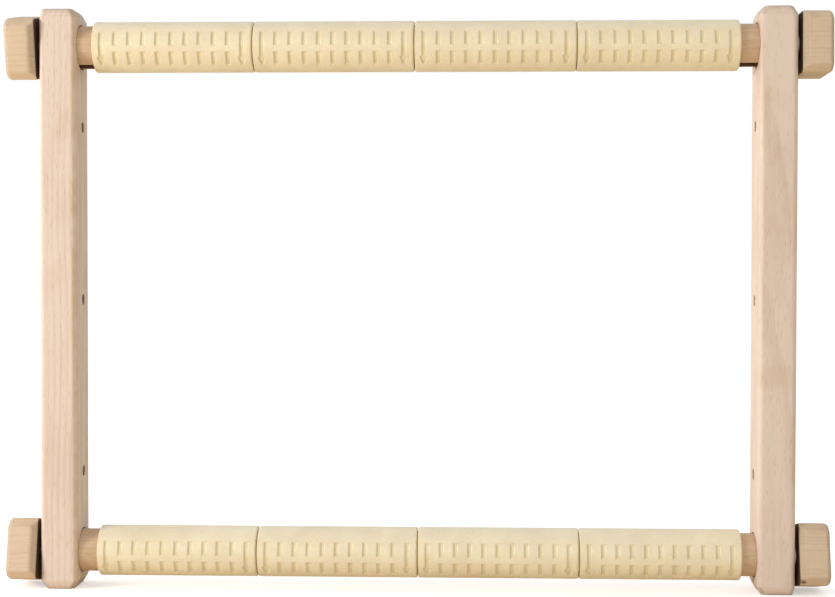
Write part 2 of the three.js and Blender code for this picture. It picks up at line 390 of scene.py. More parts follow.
class BeechTimber(SharedEffect):
    """Beech: growth rings round a pith line, fine fibres, and short dark ray flecks.

    Its coordinates are in millimetres, with Z along the fibres and the pith line at X = Y = 0. Its
    patterns are given as (spots per millimetre across the fibres, the same along them).
    """

    NAME = "beech timber"
    INPUTS = {
        "Vector": "vector",
        "Early Wood": "colour",
        "Late Wood": "colour",
        "Fleck Colour": "colour",
        "Ring Width": "number",
        "Ring Strength": "number",
        "Fibre Strength": "number",
        "Fleck Strength": "number",
    }
    OUTPUTS = {"Colour": "colour", "Height": "number", "Roughness": "number"}

    WAVER = (0.045, 0.012)
    WAVER_REACH = 5.0
    FINE_FIBRES = (2.6, 0.11)
    BROAD_FIBRES = (0.6, 0.028)
    CLOUDS = (0.07, 0.018)
    FLECKS = (1.5, 0.2)

    RING_RISE = (0.1, 0.95)
    RING_FALL = (1.0, 0.9)
    RING_SHARPNESS = 2.0
    FAINTEST_RING = 0.2
    CLOUD_TONE = (0.3, 0.7, -0.12, 0.22)
    FLECK_EDGE = (0.42, 0.16)
    FLECK_LUCK_SCALE = 3.7
    FLECK_KEPT_OVER = 0.53
    FIBRE_HEIGHT = 0.8
    FLECK_DEPTH = 0.5
    FIBRE_ROUGHNESS = 0.12
    FLECK_ROUGHNESS = 0.06

    @classmethod
    def wire(cls, graph: Graph, inputs: bpy.types.NodeOutputs) -> dict[str, NodeSocket]:
        """Builds the rings, the fibres and the flecks.

        Args:
            graph: The group's graph.
            inputs: The group's inputs by name.

        Returns:
            The socket that feeds each output.
        """
        point = inputs["Vector"]
        waver = graph.noise(graph.stretched(point, *cls.WAVER))
        flat = graph.stretched(point, 1.0, 0.0)
        from_pith = graph.vector("LENGTH", flat)
        distance = graph.maths("ADD", from_pith, graph.maths("MULTIPLY", waver, cls.WAVER_REACH))
        years = graph.maths("DIVIDE", distance, inputs["Ring Width"])
        age = graph.maths("FRACT", years)
        luck = graph.add("ShaderNodeTexWhiteNoise", noise_dimensions="1D")
        graph.feed(luck.inputs["W"], graph.maths("FLOOR", years))
        darkening = graph.maths("POWER", graph.ramp(age, *cls.RING_RISE), cls.RING_SHARPNESS)
        ring = graph.maths("MULTIPLY", darkening, graph.ramp(age, *cls.RING_FALL))
        swing = 1 - cls.FAINTEST_RING
        vigour = graph.maths("MULTIPLY_ADD", luck.outputs["Value"], swing, cls.FAINTEST_RING)
        ring = graph.maths("MULTIPLY", ring, vigour)

        fine = graph.noise(graph.stretched(point, *cls.FINE_FIBRES), detail=3.0)
        broad = graph.noise(graph.stretched(point, *cls.BROAD_FIBRES))
        cloud = graph.noise(graph.stretched(point, *cls.CLOUDS), detail=1.0)

        cells = graph.add("ShaderNodeTexVoronoi", feature="F1")
        graph.feed(cells.inputs["Vector"], graph.stretched(point, *cls.FLECKS))
        graph.feed(cells.inputs["Scale"], 1.0)
        cell_luck = graph.noise(cells.outputs["Position"], cls.FLECK_LUCK_SCALE, detail=0.0)
        keep = graph.maths("GREATER_THAN", cell_luck, cls.FLECK_KEPT_OVER)
        fleck = graph.maths("MULTIPLY", graph.ramp(cells.outputs["Distance"], *cls.FLECK_EDGE), keep)

        tone = graph.maths("MULTIPLY", ring, inputs["Ring Strength"])
        streak = graph.maths("SUBTRACT", graph.maths("ADD", fine, broad), 1.0)
        tone = graph.maths("ADD", tone, graph.maths("MULTIPLY", streak, inputs["Fibre Strength"]))
        tone = graph.maths("ADD", tone, graph.ramp(cloud, *cls.CLOUD_TONE))
        colour = graph.mixed(tone, inputs["Early Wood"], inputs["Late Wood"])
        spot = graph.maths("MULTIPLY", fleck, inputs["Fleck Strength"])
        colour = graph.mixed(spot, colour, inputs["Fleck Colour"])

        ridges = graph.maths("MULTIPLY", fine, cls.FIBRE_HEIGHT)
        height = graph.maths("SUBTRACT", ridges, graph.maths("MULTIPLY", fleck, cls.FLECK_DEPTH))
        fuzz = graph.maths("MULTIPLY", fine, cls.FIBRE_ROUGHNESS)
        rough = graph.maths("ADD", fuzz, graph.maths("MULTIPLY", fleck, cls.FLECK_ROUGHNESS))
        return {"Colour": colour, "Height": height, "Roughness": rough}


class EndGrain(SharedEffect):
    """The faces where the fibres end: greyer, rougher, and dotted with pores."""

    NAME = "end grain"
    INPUTS = {
        "Vector": "vector",
        "Normal": "vector",
        "Fibre Axis": "vector",
        "Colour": "colour",
        "Strength": "number",
    }
    OUTPUTS = {"Colour": "colour", "Mask": "number"}

    FACING = (0.2, 0.7)
    PORES_PER_MILLIMETRE = 3.2
    PORE_TONE = (0.45, 0.7)
    PORE_SHARE = 0.5
    TINT = paint(144, 134, 119)

    @classmethod
    def wire(cls, graph: Graph, inputs: bpy.types.NodeOutputs) -> dict[str, NodeSocket]:
        """Masks the faces that look along the fibres and dots them.

        Args:
            graph: The group's graph.
            inputs: The group's inputs by name.

        Returns:
            The socket that feeds each output.
        """
        along = graph.vector("DOT_PRODUCT", inputs["Normal"], inputs["Fibre Axis"])
        mask = graph.ramp(graph.maths("ABSOLUTE", along), *cls.FACING)
        dots = graph.noise(inputs["Vector"], cls.PORES_PER_MILLIMETRE, detail=1.0)
        pores = graph.ramp(dots, *cls.PORE_TONE)
        share = graph.maths("MULTIPLY_ADD", pores, cls.PORE_SHARE, 1 - cls.PORE_SHARE)
        share = graph.maths("MULTIPLY", share, inputs["Strength"])
        colour = graph.mixed(graph.maths("MULTIPLY", mask, share), inputs["Colour"], cls.TINT)
        return {"Colour": colour, "Mask": mask}


class HandledSkin(SharedEffect):
    """Traces of use, and painted shade: rounded edges burnished by hands (painted shade on a shaded one),
    faint uneven soiling, and painted shade in sunk places.
    """

    NAME = "handled skin"
    INPUTS = {
        "Vector": "vector",
        "Rounded": "number",
        "Sunk": "number",
        "Colour": "colour",
        "Rub Colour": "colour",
        "Dust Colour": "colour",
        "Strength": "number",
    }
    OUTPUTS = {"Colour": "colour", "Shine": "number"}

    RUBS_PER_MILLIMETRE = 0.16
    RUB_TONE = (0.35, 0.7, 0.35, 1.0)
    SOILS_PER_MILLIMETRE = 0.045
    SOIL_TONE = (0.52, 0.75, 0.0, 0.5)

    @classmethod
    def wire(cls, graph: Graph, inputs: bpy.types.NodeOutputs) -> dict[str, NodeSocket]:
        """Rubs the rounded edges, soils the rest in soft patches, and paints shade in the sunk places.

        Args:
            graph: The group's graph.
            inputs: The group's inputs by name.

        Returns:
            The socket that feeds each output.
        """
        patches = graph.noise(inputs["Vector"], cls.RUBS_PER_MILLIMETRE, detail=3.0)
        edge = graph.maths("MULTIPLY", inputs["Rounded"], graph.ramp(patches, *cls.RUB_TONE))
        smears = graph.noise(inputs["Vector"], cls.SOILS_PER_MILLIMETRE, detail=3.0)
        worn = graph.maths("MAXIMUM", edge, graph.ramp(smears, *cls.SOIL_TONE))
        share = graph.maths("MULTIPLY", worn, inputs["Strength"])
        colour = graph.mixed(share, inputs["Colour"], inputs["Rub Colour"])
        # Painted shade: the Sunk mark darkens holes, saw cuts, slots and shaded gaps.
        colour = graph.mixed(inputs["Sunk"], colour, inputs["Dust Colour"])
        return {"Colour": colour, "Shine": graph.maths("MULTIPLY", edge, inputs["Strength"])}

    @classmethod
    def over(
        cls, graph: Graph, point: NodeSocket, colour: NodeSocket, rub: Colour, painted_shade: Colour, strength: float
    ) -> Node:
        """Lays the skin over a colour, by the marks on the piece's faces.

        Args:
            graph: The material's graph.
            point: Coordinates in millimetres.
            colour: The colour under the skin.
            rub: The colour of rubbed and soiled places, and of painted shade on a shaded rounded edge.
            painted_shade: The painted shade colour in sunk places.
            strength: How far the rubbed and soiled places show.

        Returns:
            The group node.
        """
        return graph.placed(
            cls.group(),
            vector=point,
            rounded=graph.mark(ROUNDED_LAYER),
            sunk=graph.mark(PAINTED_SHADE_LAYER),
            colour=colour,
            rub_colour=rub,
            dust_colour=painted_shade,
            strength=strength,
        )


class FineSpeckle(SharedEffect):
    """The small unevenness of a moulded or machined surface."""

    NAME = "fine speckle"
    INPUTS = {
        "Vector": "vector",
        "Grains Per Millimetre": "number",
        "Colour": "colour",
        "Strength": "number",
    }
    OUTPUTS = {"Colour": "colour", "Height": "number", "Roughness": "number"}

    DRIFTS_PER_MILLIMETRE = 0.08
    TONE = (0.35, 0.65)
    SHADE = paint(214, 209, 200)
    ROUGHNESS_SWING = 0.3

    @classmethod
    def wire(cls, graph: Graph, inputs: bpy.types.NodeOutputs) -> dict[str, NodeSocket]:
        """Lays fine noise over broad noise.

        Args:
            graph: The group's graph.
            inputs: The group's inputs by name.

        Returns:
            The socket that feeds each output.
        """
        grain = graph.noise(inputs["Vector"], inputs["Grains Per Millimetre"])
        drift = graph.noise(inputs["Vector"], cls.DRIFTS_PER_MILLIMETRE)
        mean = graph.maths("MULTIPLY", graph.maths("ADD", grain, drift), 0.5)
        dark = graph.maths("MULTIPLY", graph.ramp(mean, *cls.TONE), inputs["Strength"])
        shade = graph.mixed(1.0, inputs["Colour"], cls.SHADE, blend="MULTIPLY")
        colour = graph.mixed(dark, inputs["Colour"], shade)
        rough = graph.maths("MULTIPLY", graph.maths("SUBTRACT", mean, 0.5), cls.ROUGHNESS_SWING)
        return {"Colour": colour, "Height": grain, "Roughness": rough}


# Finishes


def blank_material(name: str) -> tuple[Material, Graph, Node]:
    """Starts a material with one shader.

    Args:
        name: The material's name.

    Returns:
        The material, its graph and its Principled shader.
    """
    material = bpy.data.materials.new(name)
    material.use_nodes = True
    graph = Graph(material.node_tree)
    shader = next(node for node in material.node_tree.nodes if node.type == "BSDF_PRINCIPLED")
    return material, graph, shader


@dataclass(frozen=True)
class BeechFinish:
    """Bare sanded beech.

    Attributes:
        early: Colour of the early wood.
        late: Colour of the late wood.
        fleck: Colour of the ray flecks.
        rub: Colour of edges that hands have rubbed, also laid as painted shade on a bar's shaded front inner
            edge.
        painted_shade: Painted shade colour inside holes, saw cuts and the knobs' inner ends.
        torn: Colour where a chip is missing.
        rub_strength: How far the rubbed edges show.
        ring_width: Width of a growth ring, in millimetres.
        ring_strength: How far late wood shows.
        fibre_strength: How far single fibres show.
        fleck_strength: How far the flecks show.
        end_strength: How far the faces where the fibres end show.
        roughness: Roughness between the fibres.
        end_roughness: How much rougher the ends of the fibres are.
        rub_polish: How much smoother the rubbed edges are.
        relief: Height of the fibres.
        relief_strength: How much of it shows.
        chip_reach: How far a chip reaches from its middle, at most and where it is deepest.
        chip_raggedness: How far its outline wanders.
        chip_spots: How many of its notches fit into a metre.
        chip_strength: How far the torn colour shows.
        chip_depth: Its depth, in heights of a fibre.
    """

    early: Colour
    late: Colour
    fleck: Colour
    rub: Colour
    # Painted shade: darkens holes, saw cuts and the knobs' inner ends, where shade falls.
    painted_shade: Colour = paint(74, 46, 26)
    torn: Colour = paint(96, 66, 40)
    rub_strength: float = 0.4
    ring_width: float = 2.4
    ring_strength: float = 0.45
    fibre_strength: float = 0.8
    fleck_strength: float = 0.4
    end_strength: float = 0.75
    roughness: float = 0.56
    end_roughness: float = 0.1
    rub_polish: float = 0.3
    relief: float = 0.12 * MM
    relief_strength: float = 0.6
    chip_reach: tuple[float, float] = (2.6 * MM, 1.5 * MM)
    chip_raggedness: float = 1.5 * MM
    chip_spots: float = 900.0
    chip_strength: float = 0.85
    chip_depth: float = 4.0

    def material(
        self,
        name: str,
        grain: Grain,
        centre: Vector,
        pith: Vector,
        lean: tuple[float, float],
        nick: Vector | None = None,
    ) -> Material:
        """Cuts the timber for one piece.

        Args:
            name: The material's name.
            grain: The axis that the fibres run along.
            centre: The middle of the piece.
            pith: Where the middle of the piece lies from the pith line, in millimetres.
            lean: How far the fibres lean from the piece's axis, in degrees about X and Y.
            nick: Where a small chip is missing, if one is.

        Returns:
            The material.
        """
        material, graph, shader = blank_material(name)
        coordinates = graph.add("ShaderNodeTexCoord")
        is_upright = grain is Grain.ALONG_BAR
        align = Matrix.Identity(3) if is_upright else Matrix.Rotation(-math.pi / 2, 3, "Y")
        lean_x, lean_y = (math.radians(angle) for angle in lean)
        turn = Matrix.Rotation(lean_x, 3, "X") @ Matrix.Rotation(lean_y, 3, "Y") @ align
        mapping = graph.add("ShaderNodeMapping")
        graph.feed(mapping.inputs["Vector"], coordinates.outputs["Object"])
        mapping.inputs["Rotation"].default_value = turn.to_euler("XYZ")
        mapping.inputs["Location"].default_value = pith * MM - turn @ centre
        point = graph.in_millimetres(mapping.outputs["Vector"])

        timber = graph.placed(
            BeechTimber.group(),
            vector=point,
            early_wood=self.early,
            late_wood=self.late,
            fleck_colour=self.fleck,
            ring_width=self.ring_width,
            ring_strength=self.ring_strength,
            fibre_strength=self.fibre_strength,
            fleck_strength=self.fleck_strength,
        )
        ends = graph.placed(
            EndGrain.group(),
            vector=point,
            normal=coordinates.outputs["Normal"],
            fibre_axis=(0.0, 0.0, 1.0) if is_upright else (1.0, 0.0, 0.0),
            colour=timber.outputs["Colour"],
            strength=self.end_strength,
        )
        under = ends.outputs["Colour"]
        skin = HandledSkin.over(graph, point, under, self.rub, self.painted_shade, self.rub_strength)
        colour = skin.outputs["Colour"]
        height = timber.outputs["Height"]
        if nick is not None:
            colour, height = self._chipped(graph, coordinates.outputs["Object"], nick, colour, height)
        graph.feed(shader.inputs["Base Color"], colour)
        rough = graph.maths("ADD", timber.outputs["Roughness"], self.roughness)
        rough = graph.maths("MULTIPLY_ADD", ends.outputs["Mask"], self.end_roughness, rough)
        rough = graph.maths("MULTIPLY_ADD", skin.outputs["Shine"], -self.rub_polish, rough)
        graph.feed(shader.inputs["Roughness"], rough)
        graph.feed(shader.inputs["Normal"], graph.bumped(height, self.relief, self.relief_strength))
        return material

    def _chipped(
        self, graph: Graph, point: NodeSocket, nick: Vector, colour: NodeSocket, height: NodeSocket
    ) -> tuple[NodeSocket, NodeSocket]:
        """Breaks a small chip out of the surface.

        Args:
            graph: The material's graph.
            point: The piece's own coordinates.
            nick: The middle of the chip.
            colour: The colour around it.
            height: The height around it.

        Returns:
            The colour and the height with the chip.
        """
        ragged = graph.noise(point, self.chip_spots)
        distance = graph.vector("DISTANCE", point, tuple(nick))
        reach = graph.maths("MULTIPLY_ADD", ragged, self.chip_raggedness, distance)
        mask = graph.ramp(reach, *self.chip_reach)
        chipped = graph.mixed(graph.maths("MULTIPLY", mask, self.chip_strength), colour, self.torn)
        return chipped, graph.maths("MULTIPLY_ADD", mask, -self.chip_depth, height)


@dataclass(frozen=True)
class ClipPlastic:
    """Cream plastic as it leaves the mould: satin, and slightly see-through in its thin lips.

    Attributes:
        base: The plastic's colour.
        rub: Its colour where fingers have soiled it.
        painted_shade: Painted shade colour in the sunk slots.
        rub_strength: How far the soiling shows.
        roughness: Its roughness.
        grains_per_millimetre: How fine its speckle is.
        speckle_strength: How far the speckle shows.
        relief: Height of the speckle.
        relief_strength: How much of it shows.
        glow: How much light goes through its skin.
        glow_reach: How far that light goes.
        glow_shares: The shares of that reach for red, green and blue.
    """

    base: Colour = paint(248, 232, 200)
    rub: Colour = paint(226, 204, 156)
    # Painted shade in the slots, darkening their walls and floors.
    painted_shade: Colour = paint(206, 184, 122)
    rub_strength: float = 0.35
    roughness: float = 0.4
    grains_per_millimetre: float = 1.6
    speckle_strength: float = 0.3
    relief: float = 0.03 * MM
    relief_strength: float = 0.5
    glow: float = 0.3
    glow_reach: float = 1.2 * MM
    glow_shares: tuple[float, float, float] = (1.0, 0.7, 0.35)

    def material(self) -> Material:
        """Builds the plastic.

        Returns:
            The material.
        """
        material, graph, shader = blank_material("cream clip plastic")
        coordinates = graph.add("ShaderNodeTexCoord")
        point = graph.in_millimetres(coordinates.outputs["Object"])
        speckle = graph.placed(
            FineSpeckle.group(),
            vector=point,
            grains_per_millimetre=self.grains_per_millimetre,
            colour=self.base,
            strength=self.speckle_strength,
        )
        under = speckle.outputs["Colour"]
        skin = HandledSkin.over(graph, point, under, self.rub, self.painted_shade, self.rub_strength)
        graph.feed(shader.inputs["Base Color"], skin.outputs["Colour"])
        rough = graph.maths("ADD", speckle.outputs["Roughness"], self.roughness)
        graph.feed(shader.inputs["Roughness"], rough)
        normal = graph.bumped(speckle.outputs["Height"], self.relief, self.relief_strength)
        graph.feed(shader.inputs["Normal"], normal)
        shader.inputs["Subsurface Weight"].default_value = self.glow
        shader.inputs["Subsurface Radius"].default_value = self.glow_shares
        shader.inputs["Subsurface Scale"].default_value = self.glow_reach
        return material


@dataclass(frozen=True)
class TurnedMetal:
    """Bare or plated metal with fine tool marks round the X axis.

    Attributes:
        name: The material's name.
        base: The metal's colour.
        roughness: Its roughness between the marks.
        marks_per_millimetre: How close the tool marks lie.
        marks_around: The same round the axis, where the marks run.
        mark_depth: How deep they are.
        mark_strength: How much of that depth shows.
        mark_roughness: How much rougher they are.
        grains_per_millimetre: How fine its speckle is.
        speckle_strength: How far the speckle shows.
        metal_share: How metallic it is, from 0 to 1.
    """

    name: str
    base: Colour
    roughness: float
    marks_per_millimetre: float
    marks_around: float = 0.1
    mark_depth: float = 0.02 * MM
    mark_strength: float = 0.4
    mark_roughness: float = 0.1
    grains_per_millimetre: float = 0.9
    speckle_strength: float = 0.5
    metal_share: float = 0.95

    def material(self) -> Material:
        """Builds the metal.

        Returns:
            The material.
        """
        material, graph, shader = blank_material(self.name)
        coordinates = graph.add("ShaderNodeTexCoord")
        point = graph.in_millimetres(coordinates.outputs["Object"])
        speckle = graph.placed(
            FineSpeckle.group(),
            vector=point,
            grains_per_millimetre=self.grains_per_millimetre,
            colour=self.base,
            strength=self.speckle_strength,
        )
        closeness = (self.marks_per_millimetre, self.marks_around, self.marks_around)
        marks = graph.noise(graph.vector("MULTIPLY", point, closeness))
        graph.feed(shader.inputs["Base Color"], speckle.outputs["Colour"])
        rough = graph.maths("ADD", speckle.outputs["Roughness"], self.roughness)
        rough = graph.maths("MULTIPLY_ADD", marks, self.mark_roughness, rough)
        graph.feed(shader.inputs["Roughness"], rough)
        graph.feed(shader.inputs["Normal"], graph.bumped(marks, self.mark_depth, self.mark_strength))
        shader.inputs["Metallic"].default_value = self.metal_share
        return material


# Bench work: operations that the pieces share


def everything(bm: BMesh) -> list[BMVert | BMEdge | BMFace]:
    """Lists all points, edges and faces."""
    return bm.verts[:] + bm.edges[:] + bm.faces[:]


def only(kind: type, parts: Iterable[object]) -> list:
    """Picks the parts of one kind."""
    return [part for part in parts if isinstance(part, kind)]


def off_centre(point: Vector) -> float:
    """How far a point lies from the X axis."""
    return math.hypot(point.y, point.z)


def rise(edge: BMEdge) -> float:
    """How far an edge climbs from one end to the other."""
    return abs(edge.verts[0].co.z - edge.verts[1].co.z)


def off_axis(face: BMFace) -> bool:
    """Whether a face is turned away from all three axes, as the facets of a rounded edge are."""
    return max(abs(part) for part in face.normal) < ON_AXIS_LEAST


def end_face(bm: BMesh, outwards: int) -> BMFace:
    """Finds the largest face that looks along +X, or along -X where outwards is -1."""
    return max((f for f in bm.faces if outwards * f.normal.x > ON_AXIS_LEAST), key=BMFace.calc_area)


def set_out(bm: BMesh, outline: Outline, closed: bool) -> list[BMVert | BMEdge]:
    """Draws an outline in the XZ plane.

    Args:
        bm: The mesh to draw in.
        outline: Points as (place along X, distance from the X axis).
        closed: Whether the last point joins the first.

    Returns:
        The outline's points and edges.
    """
    verts = [bm.verts.new((along, 0.0, radius)) for along, radius in outline]
    pairs = list(zip(verts, verts[1:]))
    if closed:
        pairs.append((verts[-1], verts[0]))
    return verts + [bm.edges.new(pair) for pair in pairs]


def turn_on_lathe(bm: BMesh, outline: Outline, sides: int, closed: bool = False) -> None:
    """Spins an outline once round the X axis.

    Args:
        bm: The mesh to add to.
        outline: Points as (place along X, distance from the X axis), from axis to axis or closed.
        sides: How many steps a full turn has.
        closed: Whether the outline closes on itself, as a ring's section does.
    """
    bmesh.ops.spin(
        bm,
        geom=set_out(bm, outline, closed),
        cent=(0, 0, 0),
        axis=(1, 0, 0),
        angle=FULL_TURN,
        steps=sides,
        use_merge=True,
    )
    close_skin(bm)


def cut_thread(bm: BMesh, end: float, radius: float, pitch: float, sides: int) -> None:
    """Winds a screw thread along the X axis from the origin and saws both of its ends square.

    Args:
        bm: The mesh to add to.
        end: Where the thread ends.
        radius: Its outer radius.
        pitch: How far it climbs in a turn.
        sides: How many steps a turn has.
    """
    depth_share = 0.61
    root = radius - depth_share * pitch
    tooth_shares = ((0.0, root), (1 / 4, root), (9 / 16, radius), (11 / 16, radius), (1.0, root))
    outline = [(share * pitch - pitch, distance) for share, distance in tooth_shares]
    bmesh.ops.spin(
        bm,
        geom=set_out(bm, outline, closed=False),
        cent=(0, 0, 0),
        axis=(1, 0, 0),
        dvec=(pitch / sides, 0, 0),
        angle=FULL_TURN,
        steps=sides,
    )
    spare_turns = 2
    turns = math.ceil(end / pitch) + spare_turns
    wound = 1
    while wound < turns:
        copy = bmesh.ops.duplicate(bm, geom=everything(bm))["geom"]
        bmesh.ops.translate(bm, vec=(wound * pitch, 0, 0), verts=only(BMVert, copy))
        wound *= 2
    bmesh.ops.remove_doubles(bm, verts=bm.verts, dist=10 * MERGE_DISTANCE)
    plane_off(bm, Vector((0, 0, 0)), Vector((-1, 0, 0)))
    plane_off(bm, Vector((end, 0, 0)), Vector((1, 0, 0)))
    close_skin(bm)


def plane_off(bm: BMesh, point: Vector, outwards: Vector) -> None:
    """Removes what lies beyond a plane and closes the cut.

    Args:
        bm: The mesh to cut.
        point: A point on the plane.
        outwards: The plane's normal, towards the waste.
    """
    cut = bmesh.ops.bisect_plane(
        bm,
        geom=everything(bm),
        dist=MERGE_DISTANCE,
        plane_co=point,
        plane_no=outwards,
        clear_outer=True,
    )
    bmesh.ops.contextual_create(bm, geom=only(BMEdge, cut["geom_cut"]))


def score(bm: BMesh, point: Vector, normal: Vector) -> None:
    """Cuts the faces along a plane and removes nothing."""
    bmesh.ops.bisect_plane(bm, geom=everything(bm), dist=MERGE_DISTANCE, plane_co=point, plane_no=normal)


def close_skin(bm: BMesh) -> None:
    """Merges doubled points and turns the faces outwards."""
    bmesh.ops.remove_doubles(bm, verts=bm.verts, dist=MERGE_DISTANCE)
    bmesh.ops.recalc_face_normals(bm, faces=bm.faces)


def soften(bm: BMesh, edges: Iterable[BMEdge], radius: float, segments: int = 2) -> None:
    """Rounds edges.

    Args:
        bm: The mesh.
        edges: The edges to round.
        radius: How far from the edge the rounding starts.
        segments: How many facets it has.
    """
    bmesh.ops.bevel(
        bm,
        geom=list(edges),
        affect="EDGES",
        offset=radius,
        segments=segments,
        profile=0.5,
        material=-1,
        clamp_overlap=True,
    )


def sharp_edges(bm: BMesh, least: float, test: Callable[[BMEdge], bool] = lambda edge: True) -> list[BMEdge]:
    """Lists the edges where two faces meet at a marked angle.

    Args:
        bm: The mesh.
        least: The least angle, in degrees.
        test: What else has to hold for an edge.

    Returns:
        The edges.
    """
    limit = math.radians(least)
    shared = (edge for edge in bm.edges if len(edge.link_faces) == 2)
    return [edge for edge in shared if edge.calc_face_angle() > limit and test(edge)]


def bore_face(bm: BMesh, face: BMFace, along: float, steps: Outline, sides: int) -> None:
    """Bores a blind round hole on the X axis into a flat face that looks along X.

    Args:
        bm: The mesh.
        face: The face to bore.
        along: The face's place along X.
        steps: The hole's wall as (depth below the face, radius), from its rim to its bottom.
        sides: How many sides the hole has.
    """
    inwards = -face.normal.x
    outer = list(face.edges)
    bmesh.ops.delete(bm, geom=[face], context="FACES_ONLY")
    rings: list[list[BMEdge]] = []
    for depth, radius in steps:
        verts = draw_circle(bm, along + inwards * depth, radius, sides)
        rings.append(list({edge for vert in verts for edge in vert.link_edges}))
    bmesh.ops.triangle_fill(bm, use_beauty=True, use_dissolve=False, edges=outer + rings[0])
    for first, second in zip(rings, rings[1:]):
        bmesh.ops.bridge_loops(bm, edges=first + second)
    bmesh.ops.contextual_create(bm, geom=rings[-1])
    close_skin(bm)


def draw_circle(bm: BMesh, along: float, radius: float, sides: int) -> list[BMVert]:
    """Draws a circle round the X axis and lists its points.

    Args:
        bm: The mesh to draw in.
        along: The circle's place along X.
        radius: Its radius.
        sides: How many points it has.

    Returns:
        Its points.
    """
    place = Matrix.Translation((along, 0, 0)) @ Matrix.Rotation(math.pi / 2, 4, "Y")
    circle = bmesh.ops.create_circle(bm, cap_ends=False, radius=radius, segments=sides, matrix=place)
    return circle["verts"]


def mark_faces(bm: BMesh, layer_name: str, value_of: Callable[[BMFace], float]) -> None:
    """Writes a number on every face, for the finishes to read.

    Args:
        bm: The mesh.
        layer_name: What the number is about: rounded edges, or the painted shade in sunk places and shaded
            gaps.
        value_of: Gives a face's number, from 0 for none to 1 for full.
    """
    layer = bm.loops.layers.float.new(layer_name)
    for face in bm.faces:
        value = float(value_of(face))
        for loop in face.loops:
            loop[layer] = value


def as_mesh(bm: BMesh, name: str) -> Mesh:
    """Turns the work into a mesh with that name, and frees the work.

    Args:
        bm: The work, which is freed.
        name: The mesh's name.

    Returns:
        The mesh.
    """
    mesh = bpy.data.meshes.new(name)
    bm.to_mesh(mesh)
    bm.free()
    return mesh


def set_down(name: str, data: bpy.types.ID) -> Object:
    """Puts a mesh, a camera or a light into the scene as an object with that name.

    Args:
        name: The object's name.
        data: The mesh, the camera or the light.

    Returns:
        The object.
    """
    thing = bpy.data.objects.new(name, data)
    bpy.context.scene.collection.objects.link(thing)
    return thing


def cut_away(block: Mesh, waste: Mesh, name: str) -> Mesh:
    """Takes one closed shape out of another.

    Args:
        block: What is kept.
        waste: What is taken out.
        name: The new mesh's name.

    Returns:
        The rest of the block.
    """
    work = set_down("work", block)
    tool = set_down("tool", waste)
    cut = work.modifiers.new("cut", "BOOLEAN")
    cut.operation = "DIFFERENCE"
    cut.solver = "EXACT"
    cut.object = tool
    evaluated = work.evaluated_get(bpy.context.evaluated_depsgraph_get())
    mesh = bpy.data.meshes.new_from_object(evaluated)
    mesh.name = name
    for thing in (work, tool):
        bpy.data.objects.remove(thing)
    for used in (block, waste):
        bpy.data.meshes.remove(used)
    return mesh


def deliver(mesh: Mesh, place: Place, material: Material) -> Object:
    """Smooths and dresses a piece, and puts it on its body.

    Args:
        mesh: The piece's mesh, in the frame's own place.
        place: Where the piece belongs.
        material: Its finish.

    Returns:
        The finished piece.
    """
    mesh.materials.clear()
    mesh.materials.append(material)
    mesh.polygons.foreach_set("use_smooth", [True] * len(mesh.polygons))
    mesh.set_sharp_from_angle(angle=SMOOTH_UNDER)
    piece = set_down(f"fine_{place.node}", mesh)
    weighted = piece.modifiers.new("even shading", "WEIGHTED_NORMAL")
    weighted.keep_sharp = True
    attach(piece, place.body)
    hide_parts(place.node)
    log.info("%s: %d faces, in place of %s", piece.name, len(mesh.polygons), place.node)
    return piece


# Sub-assemblies


